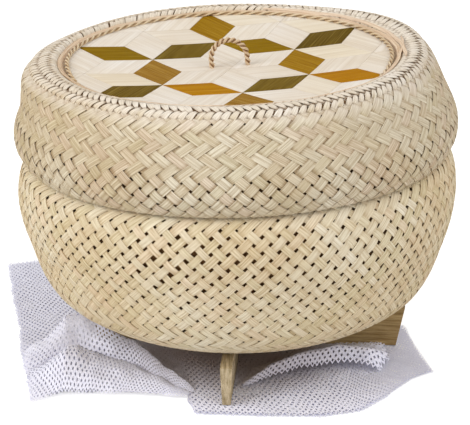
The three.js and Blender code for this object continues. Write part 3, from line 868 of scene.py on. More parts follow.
@dataclass(frozen=True)
class BasketShape:
    """Driving sizes, lines and hand-made set of the basket, as the solids have them."""

    radius: float = 0.1008
    rise: float = 0.0985
    bottom: float = 0.0213
    lid_rise: float = 0.044
    lid_seat: float = 0.09856
    layer: float = 0.0014
    wall: float = 0.0044
    body_shares: Line = (
        (0.5655, 0), (0.6548, 0.0173), (0.755, 0.066), (0.8472, 0.1371), (0.9058, 0.2335),
        (0.9484, 0.3553), (0.9841, 0.4721), (1, 0.5736), (0.998, 0.6497), (0.9881, 0.7056),
        (0.9663, 0.7482), (0.9345, 0.7766), (0.9107, 0.8051), (0.9018, 0.8528), (0.9008, 1),
    )
    lid_shares: Line = (
        (0.7599, 0.9395), (0.7857, 0.986), (0.8214, 1), (0.8611, 0.9744), (0.8968, 0.9163),
        (0.9246, 0.8326), (0.9603, 0.6488), (0.9901, 0.4442), (1.005, 0.293), (1.004, 0.1605),
        (0.9881, 0.0721), (0.9702, 0),
    )
    lid_lean: float = 0.0036
    seat_tilt: float = math.radians(1.6)
    tilt_start_share: float = 0.35
    tilt_end_share: float = 0.74
    swell_from: float = 0.079
    swell_full: float = 0.089
    swells: tuple[Swell, ...] = (
        Swell(turn=30, turn_spread=28, height=0.92, height_spread=0.28, outward=0.0026, upward=0.0025),
        Swell(turn=145, turn_spread=22, height=0.95, height_spread=0.3, outward=0.0, upward=-0.0012),
        Swell(turn=180, turn_spread=38, height=0.87, height_spread=0.14, outward=0.0021),
        Swell(turn=180, turn_spread=40, height=0.52, height_spread=0.13, outward=-0.0013),
        Swell(turn=0, turn_spread=35, height=0.4, height_spread=0.2, outward=0.0012),
    )

    def depths(self) -> Point:
        """Depths of the near and the far layer of a wall below its outside face."""
        return self.layer / 2, self.wall - self.layer / 2

    def body_line(self) -> Meridian:
        """Outside line of the body from the foot's edge to the rim."""
        corners = [(r * self.radius, self.bottom + z * self.rise) for r, z in self.body_shares]
        return Meridian.through(corners, Side.RIGHT)

    def lid_corners(self, shares: Sequence[Point]) -> list[Point]:
        """Radii and heights on the lid from shares of its radius and rise."""
        return [(r * self.radius, self.lid_seat + z * self.lid_rise) for r, z in shares]

    def lid_line(self) -> Meridian:
        """Outside line of the lid from the crest's inner edge to the lip."""
        return Meridian.through(self.lid_corners(self.lid_shares), Side.LEFT)

    def tilted(self, points: ndarray) -> ndarray:
        """Tilts what lies at and above the seat, right side up.

        Args:
            points: Places as rows of x, y, z.

        Returns:
            The tilted places.
        """
        start = self.bottom + self.tilt_start_share * self.rise
        end = self.bottom + self.tilt_end_share * self.rise
        moved = points.copy()
        rise = math.tan(self.seat_tilt) * points[:, 0] * smoothstep(points[:, 2], start, end)
        moved[:, 2] += rise
        return moved

    def leaning(self, points: ndarray) -> ndarray:
        """Gives a lid piece its lean, then the tilt of the seat.

        Args:
            points: Places as rows of x, y, z.

        Returns:
            The places on the leaning lid.
        """
        moved = points.copy()
        moved[:, 0] -= self.lid_lean * (points[:, 2] - self.lid_seat) / self.lid_rise
        return self.tilted(moved)

    def swollen(self, points: ndarray) -> ndarray:
        """Gives the lid's outer weave its uneven shoulder, then the lean.

        Args:
            points: Places as rows of x, y, z.

        Returns:
            The places on the uneven, leaning lid.
        """
        moved = points.copy()
        radius = np.hypot(points[:, 0], points[:, 1])
        turn = np.degrees(np.arctan2(points[:, 1], points[:, 0]))
        share = (points[:, 2] - self.lid_seat) / self.lid_rise
        outside = smoothstep(radius, self.swell_from, self.swell_full)
        for swell in self.swells:
            aside = ((turn - swell.turn + 180.0) % 360.0 - 180.0) / swell.turn_spread
            above = (share - swell.height) / swell.height_spread
            amount = outside * np.exp(-aside ** 2 - above ** 2)
            share_out = swell.outward * amount / np.maximum(radius, SAME_PLACE)
            moved[:, :2] += points[:, :2] * share_out[:, None]
            moved[:, 2] += swell.upward * amount
        return self.leaning(moved)


@dataclass(frozen=True)
class Strip:
    """One strip of a wall, with the chances of its making."""

    way: int
    start: float
    width: float
    shift: float
    flow: ndarray
    looseness: ndarray
    tag: float


@dataclass
class WovenWall:
    """Wall woven two over, two under, and one by one in its plain rows.

    Rows are counted where the strips cross, from the start of the wall's line.
    """

    name: str
    surface: Surface
    body: Body
    finish: Material
    slot: str
    strip_count: int = 86
    strip_width: float = 0.0037
    slant_width_step: float = 0.0002
    strip_thickness: float = 0.00034
    weave_depth: float = 0.00032
    crown_share: float = 0.15
    lay_angles: Line = ((0.0, 45.0), (1.0, 45.0))
    width_shares: Line = ((0.0, 1.0), (1.0, 1.0))
    tightest_share: float = 0.985
    pair_middle: float = 0.5
    plain_rows: tuple[int, int] = (1000, 1001)
    pinched_row: float = -10.0
    pinch: float = 0.5
    pinch_spread: float = 0.6
    front_pinch_share: float = 0.1
    front_sines: Point = (-0.7, -0.1)
    unevenness: float = 0.0
    shaded_from: float = 2.0
    shade_ease: float = 0.02
    wobble: float = 0.00028
    rows_per_crossing: int = 4
    columns: int = 2
    line_steps: int = 600
    loose_step: int = 12
    width_chances: Point = (0.93, 1.06)
    flow_pace: float = 40.0
    loose_pace: Point = (2.2, 30.0)
    least_slope: float = 0.3
    seed: int = 1
    seed_draws: int = 100
    seed_tags: int = 200
    left_tags: int = 100

    def __post_init__(self) -> None:
        """Works out the course that all strips share."""
        self.line = self.surface.meridian
        self.length = self.line.runs[-1]
        self.spacing = 2 * math.pi / self.strip_count
        self.runs = np.linspace(0.0, self.length, self.line_steps)
        self.angles = np.radians(np.interp(self.runs / self.length, *zip(*self.lay_angles)))
        rate = 1.0 / (np.tan(self.angles) * self.line.at(self.runs)[0])
        steps = (rate[1:] + rate[:-1]) / 2 * np.diff(self.runs)
        self.turns = np.concatenate([[0.0], np.cumsum(steps)])
        self.phases = self._phases()

    def _phases(self) -> tuple[list[float], list[float]]:
        """Phase of over and under at the rows where its pace changes.

        Returns:
            Rows and phases, half a turn per float.
        """
        first, last = self.plain_rows
        easing, beyond = 0.75, 50.0
        rows = [0.0, first, first + 1, last, last + 1, last + 1 + 2 * beyond]
        phases = [-self.pair_middle * math.pi / 2, (first - self.pair_middle) * math.pi / 2]
        for step in (easing, last - first - 1.0, easing, beyond):
            phases.append(phases[-1] + step * math.pi)
        return rows, phases

    def _strip(self, number: int, way: int, dice: random.Random) -> Strip:
        """Draws the chances of one strip.

        Args:
            number: Which strip of its family.
            way: 1 where it climbs to the right, -1 to the left.
            dice: Random numbers of the family.

        Returns:
            The strip.
        """
        start = number * self.spacing
        shift = dice.uniform(-1.0, 1.0) * self.wobble
        width = (self.strip_width + way * self.slant_width_step) * dice.uniform(*self.width_chances)
        tag = number + self.seed * self.seed_tags + (0 if way > 0 else self.left_tags)
        flow = np.array([wander(tag, run * self.flow_pace) for run in self.runs]) * self.wobble
        round_pace, rise_pace = self.loose_pace
        places = zip(start + way * self.turns[::self.loose_step], self.runs[::self.loose_step])
        loose = np.array([
            noise.noise(Vector((round_pace * math.cos(turn), round_pace * math.sin(turn),
                                run * rise_pace + self.seed)))
            for turn, run in places
        ])
        return Strip(way, start, width, shift, flow, loose * self.unevenness, float(tag))

    def _width(self, strip: Strip, reached: ndarray, run: ndarray, pitch: ndarray) -> ndarray:
        """Width of a strip, drawn in where the rows are tight, pinched or loose.

        Args:
            strip: The strip.
            reached: Turns about the axis that it has made.
            run: Lengths along the wall's line.
            pitch: Room from one strip to the next.

        Returns:
            The widths.
        """
        drawn = smoothstep(np.sin(strip.start + strip.way * reached), *self.front_sines)
        drawn = self.front_pinch_share + (1 - self.front_pinch_share) * drawn
        rows = reached * 2 / self.spacing
        pinched = self.pinch * drawn * np.exp(-((rows - self.pinched_row) / self.pinch_spread) ** 2)
        wide = np.minimum(strip.width, pitch * self.tightest_share)
        wide = wide * np.interp(run / self.length, *zip(*self.width_shares)) * (1 - pinched)
        return wide * (1 + np.interp(run, self.runs[::self.loose_step], strip.looseness))

    def lay(self, strip: Strip, along: ndarray, across: ndarray) -> Arrays:
        """Places and lays of a strip's vertices.

        Args:
            strip: The strip.
            along: Shares along it.
            across: Shares across it.

        Returns:
            Places, and lays whose fourth value paints shade where the strip dives and at its hem.
        """
        way = strip.way
        reached = along * self.turns[-1]
        run = np.interp(reached, self.turns, self.runs)
        angle = np.interp(run, self.runs, self.angles)
        radius = self.line.at(run)[0]
        wide = self._width(strip, reached, run, self.spacing * radius * np.sin(angle))
        aside = (across - 0.5) * wide + strip.shift + np.interp(run, self.runs, strip.flow)
        turn = strip.start + way * reached + aside * np.sin(angle) / radius
        moved = np.clip(run - way * aside * np.cos(angle), 0.0, self.length)
        wave = way * weave_wave(np.interp(reached * 2 / self.spacing, *self.phases))
        lift = (wave + self.crown_share * (1 - (2 * across - 1) ** 2)) * self.weave_depth
        # Painted shade from shaded_from on: the hem under the lid's lip, or the body's neck under the lid.
        hem_shade = smoothstep(moved / self.length, self.shaded_from, self.shaded_from + self.shade_ease)
        lays = np.column_stack([
            run / np.maximum(np.sin(angle), self.least_slope), aside, np.full(len(run), strip.tag),
            np.maximum(0.5 - 0.5 * wave, hem_shade),
        ])
        return self.surface.points(turn, moved, lift), lays

    def family(self, slant: Slant) -> Object:
        """Builds all the strips that climb one way.

        Args:
            slant: The way that they climb.

        Returns:
            The object.
        """
        way = slant.value
        dice = random.Random(self.seed * self.seed_draws + way)
        rows = int(self.turns[-1] * 2 / self.spacing * self.rows_per_crossing)
        mesher = Mesher(f"{self.name}_strips_{'right' if way > 0 else 'left'}")
        for number in range(self.strip_count):
            mesher.grid(rows, self.columns, partial(self.lay, self._strip(number, way, dice)))
        mesher.thicken(self.strip_thickness)
        return mesher.finished(self.body, self.finish, self.slot)

    def build(self) -> list[Object]:
        """Builds both families."""
        return [self.family(slant) for slant in Slant]


@dataclass
class WovenDisc:
    """Round field woven two over, two under, from straight strips."""

    name: str
    radius: float
    levels: Line
    place: Place
    body: Body
    finish: Material
    slot: str
    turn: float = 0.3
    pitch: float = 0.0048
    strip_width: float = 0.0046
    strip_thickness: float = 0.0004
    weave_depth: float = 0.00032
    width_chances: Point = (0.94, 1.0)
    rows_per_pitch: int = 3
    least_rows: int = 4
    columns: int = 2
    seed: int = 5
    seed_draws: int = 10
    seed_tags: int = 100
    side_tags: int = 50

    def family(self, crosswise: bool) -> Object:
        """Builds the strips that run one way.

        Args:
            crosswise: Whether they run across the others.

        Returns:
            The object.
        """
        way = -1 if crosswise else 1
        heading = self.turn + (math.pi / 2 if crosswise else 0.0)
        mesher = Mesher(f"{self.name}_strips_{'across' if crosswise else 'along'}")
        half_count = int(self.radius / self.pitch)
        dice = random.Random(self.seed * self.seed_draws + way)
        for number in range(-half_count, half_count + 1):
            offset = number * self.pitch
            half = math.sqrt(self.radius ** 2 - offset ** 2)
            width = self.strip_width * dice.uniform(*self.width_chances)
            tag = float(number + half_count + self.seed * self.seed_tags + self.side_tags * way)

            def shape(along: ndarray, across: ndarray) -> Arrays:
                """Places and lays of this strip's vertices.

                Args:
                    along: Shares along it.
                    across: Shares across it.

                Returns:
                    Places and lays.
                """
                run = (along - 0.5) * 2 * half
                aside = offset + (across - 0.5) * width
                wave = way * weave_wave((run / self.pitch + number - 0.5) * math.pi / 2)
                x = run * math.cos(heading) - aside * math.sin(heading) * way
                y = run * math.sin(heading) + aside * math.cos(heading) * way
                level = np.interp(np.hypot(x, y), *zip(*self.levels)) + wave * self.weave_depth
                lays = np.column_stack([run, aside - offset, np.full(len(run), tag)])
                return self.place(np.column_stack([x, y, level])), lays

            rows = int(2 * half / self.pitch * self.rows_per_pitch)
            mesher.grid(max(self.least_rows, rows), self.columns, shape)
        mesher.thicken(self.strip_thickness)
        return mesher.finished(self.body, self.finish, self.slot)

    def build(self) -> list[Object]:
        """Builds both families."""
        return [self.family(False), self.family(True)]


@dataclass
class StarPanel:
    """Dished panel plaited from rhombic tiles of natural and dyed strip."""

    shape: BasketShape
    finishes: Finishes
    radius: float = 0.0746
    dish: float = 0.0035
    cap_radius: float = 0.0750
    pitch: float = 0.038
    turn: float = math.radians(-21.5)
    stretch: float = 1.1
    forward: float = 0.0054
    lift: float = 0.00012
    crown: float = 0.00028
    joint: float = 0.00022
    thickness: float = 0.0003
    fibre_slant: float = 0.4
    crown_power: int = 6
    cells: int = 8
    field_steps: int = 3
    first_dyed_tag: float = 300.0
    first_natural_tag: float = 400.0

    DYED = (
        ("dyed_strip_olive_back", 0, 1, "olive", "dye_olive"),
        ("dyed_strip_ochre_front", 0, -1, "ochre", "dye_ochre"),
        ("dyed_strip_dark_left", 60, 1, "dark_olive", "dye_dark_olive"),
        ("dyed_strip_dark_right", 60, -1, "dark_olive", "dye_dark_olive"),
        ("dyed_strip_gold_back", 120, -1, "gold", "dye_olive"),
        ("dyed_strip_tan_front", 120, 1, "tan", "dye_tan"),
    )

    def edge_level(self) -> float:
        """Height of the panel's edge."""
        return self.shape.lid_seat + self.shape.lid_shares[0][1] * self.shape.lid_rise

    def level(self, radius: ndarray) -> ndarray:
        """Height of the dished panel at distances from the axis."""
        return self.edge_level() - self.dish * (1 - (radius / self.cap_radius) ** 2)

    def heading(self, degrees: float) -> ndarray:
        """Direction in the plan at an angle of the plait."""
        angle = math.radians(degrees) + self.turn
        return np.array([math.cos(angle), math.sin(angle)])

    def plaited(self, plan: ndarray) -> ndarray:
        """Plan points of the plait as it lies, stretched and set forward."""
        return plan * (1.0, self.stretch) - (0.0, self.forward)

    def dyed_centres(self, turn: float, mirror: int) -> list[ndarray]:
        """Centres of the two tiles that a dyed strip shows.

        Args:
            turn: Direction of the strip in degrees.
            mirror: 1, or -1 for the strip across the middle from it.

        Returns:
            Both centres in the plan.
        """
        reach = mirror * self.pitch * math.sqrt(3)
        inner = self.heading(turn + 90) * reach / 2
        return [inner, inner - self.heading(turn + 30) * reach]

    def lay_tile(self, mesher: Mesher, centre: ndarray, turn: float, tag: float) -> None:
        """Lays one crowned tile.

        Args:
            mesher: Collects the tile.
            centre: Its centre in the plan.
            turn: Angle of its long diagonal in degrees.
            tag: Number that its finish varies by.
        """
        along, across = self.heading(turn + 30), self.heading(turn - 30)
        side = self.pitch / math.sqrt(3) - self.joint
        limit = self.radius - self.joint

        def shape(u: ndarray, v: ndarray) -> Arrays:
            """Places and lays of this tile's vertices.

            Args:
                u: Shares along its first side.
                v: Shares along its second side.

            Returns:
                Places and lays.
            """
            a, b = u - 0.5, v - 0.5
            plan = self.plaited(centre + np.outer(a, along) * side + np.outer(b, across) * side)
            radius = np.hypot(*plan.T)
            plan *= np.minimum(1.0, limit / np.maximum(radius, SAME_PLACE))[:, None]
            crown = self.crown * (1 - (2 * a) ** self.crown_power) * (1 - (2 * b) ** self.crown_power)
            level = self.level(np.hypot(*plan.T)) + self.lift + crown
            fibre = a * side + self.fibre_slant * b * side
            lays = np.column_stack([fibre, b * side, np.full(len(a), tag)])
            return self.shape.leaning(np.column_stack([plan, level])), lays

        made = mesher.grid(self.cells, self.cells, shape)
        middle = self.shape.leaning(np.array([[0.0, 0.0, self.edge_level()]]))[0]
        rim = {v for v in made if math.hypot(v.co.x - middle[0], v.co.y) > limit - self.joint / 2}
        spare = {face for vert in rim for face in vert.link_faces if rim.issuperset(face.verts)}
        bmesh.ops.delete(mesher.bm, geom=list(spare), context="FACES")

    def build(self) -> list[Object]:
        """Builds the natural tiles and the tiles of each dyed strip.

        Returns:
            The objects, dyed strips first.
        """
        taken = []
        pieces = []
        for number, (name, turn, mirror, dye, slot) in enumerate(self.DYED):
            mesher = Mesher(name.replace("dyed_strip", "dyed_tiles"))
            for index, centre in enumerate(self.dyed_centres(turn, mirror)):
                self.lay_tile(mesher, centre, turn, self.first_dyed_tag + number * 2 + index)
                taken.append(centre)
            mesher.thicken(self.thickness)
            piece = mesher.finished(Body.LID, self.finishes.dyes[dye], slot)
            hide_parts(name)
            pieces.append(piece)
        mesher = Mesher("natural_tiles")
        tag = self.first_natural_tag
        steps = range(-self.field_steps, self.field_steps + 1)
        for turn in (0, 60, 120):
            for i in steps:
                for j in steps:
                    middle = (i + 0.5) * self.heading(turn) + j * self.heading(turn + 60)
                    centre = middle * self.pitch
                    reach = np.hypot(*self.plaited(centre))
                    near_dyed = any(np.hypot(*(centre - other)) < self.joint for other in taken)
                    if reach < self.radius + self.pitch / 2 and not near_dyed:
                        tag += 1.0
                        self.lay_tile(mesher, centre, turn, tag)
        mesher.thicken(self.thickness)
        pieces.append(mesher.finished(Body.LID, self.finishes.ivory, "ivory"))
        return pieces


@dataclass
class TwistedCord:
    """Strands laid round each other along a line."""

    name: str
    finish: Material
    slot: str
    place: Place
    strand_radius: float
    pitch: float
    strands: int = 2
    sides: int = 8
    steps_per_turn: int = 14
    reach_share: float = 1.04
    valley_shade: Point = (-0.55, 0.5)
    first_tag: float = 500.0

    def strand(self, number: int, length: float, frame_at: LineFrame, closed: bool) -> Mesher:
        """Builds one strand.

        Args:
            number: Which strand.
            length: Length of the cord's own line.
            frame_at: Gives the centres and the two cross directions at shares of the line.
            closed: Whether the cord meets itself.

        Returns:
            The mesher that holds it.
        """
        turns = length / self.pitch
        turns = round(turns) if closed else turns
        steps = int(turns * self.steps_per_turn)
        mesher = Mesher(f"{self.name}_strand_{'abcd'[number]}")
        reach = self.strand_radius * self.reach_share
        stretch = math.hypot(1.0, 2 * math.pi * reach / self.pitch)

        def shape(along: ndarray, around: ndarray) -> Arrays:
            """Places and lays of this strand's vertices.

            Args:
                along: Shares along it.
                around: Shares of a turn round it.

            Returns:
                Places, and lays with the shade painted into the valley between strands.
            """
            centres, out, aside = frame_at(along)
            twist = 2 * math.pi * (along * turns + number / self.strands)
            roll = 2 * math.pi * around
            radial = reach + self.strand_radius * np.cos(roll)
            tangential = self.strand_radius * stretch * np.sin(roll)
            across_out = radial * np.cos(twist) - tangential * np.sin(twist)
            across_aside = radial * np.sin(twist) + tangential * np.cos(twist)
            points = centres + out * across_out[:, None] + aside * across_aside[:, None]
            # The fourth lay value paints shade into the valley between the strands.
            lays = np.column_stack([
                along * length * stretch, around * 2 * math.pi * self.strand_radius,
                np.full(len(along), self.first_tag + number), smoothstep(-np.cos(roll), *self.valley_shade),
            ])
            return self.place(points), lays

        mesher.grid(steps, self.sides, shape, closed=True)
        return mesher


@dataclass
class PanelEdge:
    """Twined border on the panel and flat cane strands bound round it."""

    shape: BasketShape
    finishes: Finishes
    border_radius: float = 0.0736
    border_front_slack: float = 0.0014
    border_front_drop: float = 0.0017
    border_front_sines: Point = (0.1, 0.6)
    border_rise: float = 0.0014
    strand_radius: float = 0.00052
    strand_pitch: float = 0.0104
    binding_thickness: float = 0.00045
    binding_crown: float = 0.0002
    binding_ripple: float = 0.00025
    binding_slope: float = 0.45
    binding_step: float = 0.0022
    binding_rows: int = 4
    taper_pace: float = 30.0
    taper_least: float = 0.25
    first_tag: int = 600
    ripple_degrees: float = 9.0

    BINDINGS = (
        ("binding_bed", 0.0046, True, ((0, 0.0757, -0.0003), (180, 0.0757, -0.0003))),
        (
            "binding_inner", 0.0019, True,
            ((0, 0.0770, 0.0009), (40, 0.0766, 0.0007), (90, 0.0767, 0.0007), (140, 0.0766, 0.0007),
             (180, 0.0768, 0.0007), (205, 0.0762, 0.0008), (250, 0.0765, 0.0008), (285, 0.0764, 0.0007),
             (325, 0.0766, 0.0007), (345, 0.0767, 0.0013)),
        ),
        (
            "binding_outer", 0.0014, False,
            ((12, 0.0805, 0.0011), (4, 0.0792, 0.0013), (-6, 0.0770, 0.0022), (-20, 0.0772, 0.0014),
             (-45, 0.0786, 0.0009), (-75, 0.0784, 0.0009), (-105, 0.0785, 0.0009), (-130, 0.0782, 0.0009)),
        ),
        (
            "binding_back", 0.0015, False,
            ((78, 0.0783, 0.0009), (60, 0.0784, 0.0009), (38, 0.0788, 0.0010), (18, 0.0784, 0.0012),
             (2, 0.0790, 0.0016), (-10, 0.0806, 0.0012)),
        ),
    )

    def panel_level(self) -> float:
        """Height of the twined border's lowest line."""
        panel = StarPanel(self.shape, self.finishes)
        return float(panel.level(np.array([self.border_radius]))[0])

    def border(self) -> list[Object]:
        """Builds the twined border.

        Returns:
            Its strands.
        """
        level = self.panel_level() + self.border_rise
        cord = TwistedCord(
            "panel_border", self.finishes.twine, "cane", self.shape.leaning,
            self.strand_radius, self.strand_pitch,
        )

        def frame_at(share: ndarray) -> tuple[ndarray, ndarray, ndarray]:
            """Centres and cross directions of the ring.

            Args:
                share: Shares of the way round.

            Returns:
                Centres, directions outwards and directions up.
            """
            turn = 2 * math.pi * share
            out = np.column_stack([np.cos(turn), np.sin(turn), np.zeros(len(turn))])
            front = smoothstep(-np.sin(turn), *self.border_front_sines)
            centres = out * (self.border_radius + self.border_front_slack * front)[:, None]
            centres[:, 2] = level - self.border_front_drop * front
            return centres, out, np.tile([0.0, 0.0, 1.0], (len(turn), 1))

        length = 2 * math.pi * self.border_radius
        pieces = []
        for number in range(cord.strands):
            mesher = cord.strand(number, length, frame_at, closed=True)
            mesher.close_ring()
            pieces.append(mesher.finished(Body.LID, cord.finish, cord.slot))
        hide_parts("panel_border_braid")
        return pieces

    def binding(self, name: str, width: float, closed: bool,
                stations: Sequence[Spot], seed: int) -> Object:
        """Builds one flat strand of the binding.

        Args:
            name: Name of the piece.
            width: Width of the strand.
            closed: Whether it goes all the way round.
            stations: Angle in degrees, radius and lift above the crest's slope.
            seed: Number of the strand.

        Returns:
            The object.
        """
        knots = [tuple(station) for station in stations]
        if closed:
            first, last = knots[0], knots[-1]
            knots = [(last[0] - 360, *last[1:]), *knots, (first[0] + 360, *first[1:])]
        angles, radii, lifts = (np.array(values) for values in zip(*sorted(knots)))
        start, end = (0.0, 360.0) if closed else (angles[0], angles[-1])
        length = math.radians(end - start) * float(np.mean(radii))
        crest = self.shape.lid_line()
        rising = crest.points[:int(np.argmax(crest.points[:, 1]))]
        mesher = Mesher(name)

        def eased(angle: ndarray, values: ndarray) -> ndarray:
            """Values between stations, eased at each.

            Args:
                angle: Angles in degrees.
                values: Value at each station.

            Returns:
                Value at each angle.
            """
            place = np.interp(angle, angles, np.arange(len(angles)))
            low = np.minimum(np.floor(place).astype(int), len(angles) - 2)
            share = smoothstep(place - low, 0.0, 1.0)
            return values[low] * (1 - share) + values[low + 1] * share

        def shape(along: ndarray, across: ndarray) -> Arrays:
            """Places and lays of this strand's vertices.

            Args:
                along: Shares along it.
                across: Shares across it.

            Returns:
                Places and lays.
            """
            angle = start + along * (end - start)
            turn = np.radians(angle)
            ripple = np.array([wander(seed, a / self.ripple_degrees) for a in angle]) * self.binding_ripple
            taper = np.minimum(along, 1 - along) * self.taper_pace
            taper = 1.0 if closed else np.clip(taper, self.taper_least, 1.0)
            aside = (across - 0.5) * width * taper
            radius = eased(angle, radii) + ripple + aside
            base = np.interp(radius - aside, rising[:, 0], rising[:, 1])
            crown = self.binding_crown * (1 - (2 * across - 1) ** 2)
            level = base + eased(angle, lifts) + crown + aside * self.binding_slope
            points = np.column_stack([radius * np.cos(turn), radius * np.sin(turn), level])
            lays = np.column_stack([along * length, aside, np.full(len(along), float(seed))])
            return self.shape.leaning(points), lays

        mesher.grid(int(length / self.binding_step), self.binding_rows, shape)
        if closed:
            mesher.close_ring()
        mesher.thicken(self.binding_thickness)
        return mesher.finished(Body.LID, self.finishes.binding, "cane")

    def build(self) -> list[Object]:
        """Builds the border and the strands of the binding.

        Returns:
            The objects, border first.
        """
        pieces = self.border()
        for number, (name, width, closed, stations) in enumerate(self.BINDINGS):
            pieces.append(self.binding(name, width, closed, stations, self.first_tag + number))
        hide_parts("panel_binding")
        return pieces


@dataclass
class LoopHandle:
    """Small loop of two strands twisted together."""

    shape: BasketShape
    finishes: Finishes
    width: float = 0.0166
    rise: float = 0.013
    turn: float = math.radians(12.0)
    forward: float = 0.002
    strand_radius: float = 0.00064
    strand_pitch: float = 0.0052
    below: float = 0.0085

    def build(self) -> list[Object]:
        """Builds both strands from below the cap, up over the loop and down again.

        Returns:
            The two strands.
        """
        panel = StarPanel(self.shape, self.finishes)
        centre_level = float(panel.level(np.array([0.0]))[0])
        arch = self.width / 2
        spring = centre_level + self.rise - arch
        foot = centre_level - self.below
        leg = spring - foot
        length = 2 * leg + math.pi * arch
        forward = np.array([math.cos(self.turn), math.sin(self.turn), 0.0])
        sideways = np.array([-math.sin(self.turn), math.cos(self.turn), 0.0])
        upward = np.array([0.0, 0.0, 1.0])

        def frame_at(share: ndarray) -> tuple[ndarray, ndarray, ndarray]:
            """Centres and cross directions along the loop.

            Args:
                share: Shares of its length.

            Returns:
                Centres, directions outwards and directions sideways.
            """
            run = share * length
            angle = np.clip((run - leg) / arch, 0.0, math.pi)
            x = -arch * np.cos(angle)
            z = spring + arch * np.sin(angle)
            z += np.minimum(run - leg, 0.0) + np.minimum(length - leg - run, 0.0)
            centres = np.outer(x, forward) + np.outer(z, upward) - (0.0, self.forward, 0.0)
            out = np.outer(-np.cos(angle), forward) + np.outer(np.sin(angle), upward)
            return centres, out, np.tile(sideways, (len(share), 1))

        cord = TwistedCord(
            "handle", self.finishes.cane, "cane", self.shape.leaning,
            self.strand_radius, self.strand_pitch, sides=12, steps_per_turn=20,
        )
        pieces = []
        for number in range(cord.strands):
            mesher = cord.strand(number, length, frame_at, closed=False)
            bmesh.ops.holes_fill(mesher.bm, edges=mesher.bm.edges[:], sides=cord.sides + 1)
            piece = mesher.finished(Body.LID, cord.finish, cord.slot)
            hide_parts(f"handle_strand_{'ab'[number]}")
            pieces.append(piece)
        return pieces


@dataclass(frozen=True)
class NetPly:
    """One ply of the folded net.

    The plan edges are shares of the net's span, and left and right leave out
    the corners. The profile goes from the front edge to the back edge as run,
    place in the plan and height, all shares; the crest gives the full height
    in metres from left to right.
    """

    front: Line
    back: Line
    left: Line
    right: Line
    profile: tuple[Spot, ...]
    crest: Line
    reach: float
    base: float
    wrinkle: float
    pitch: float = 0.0019
    thread: float = 0.00054


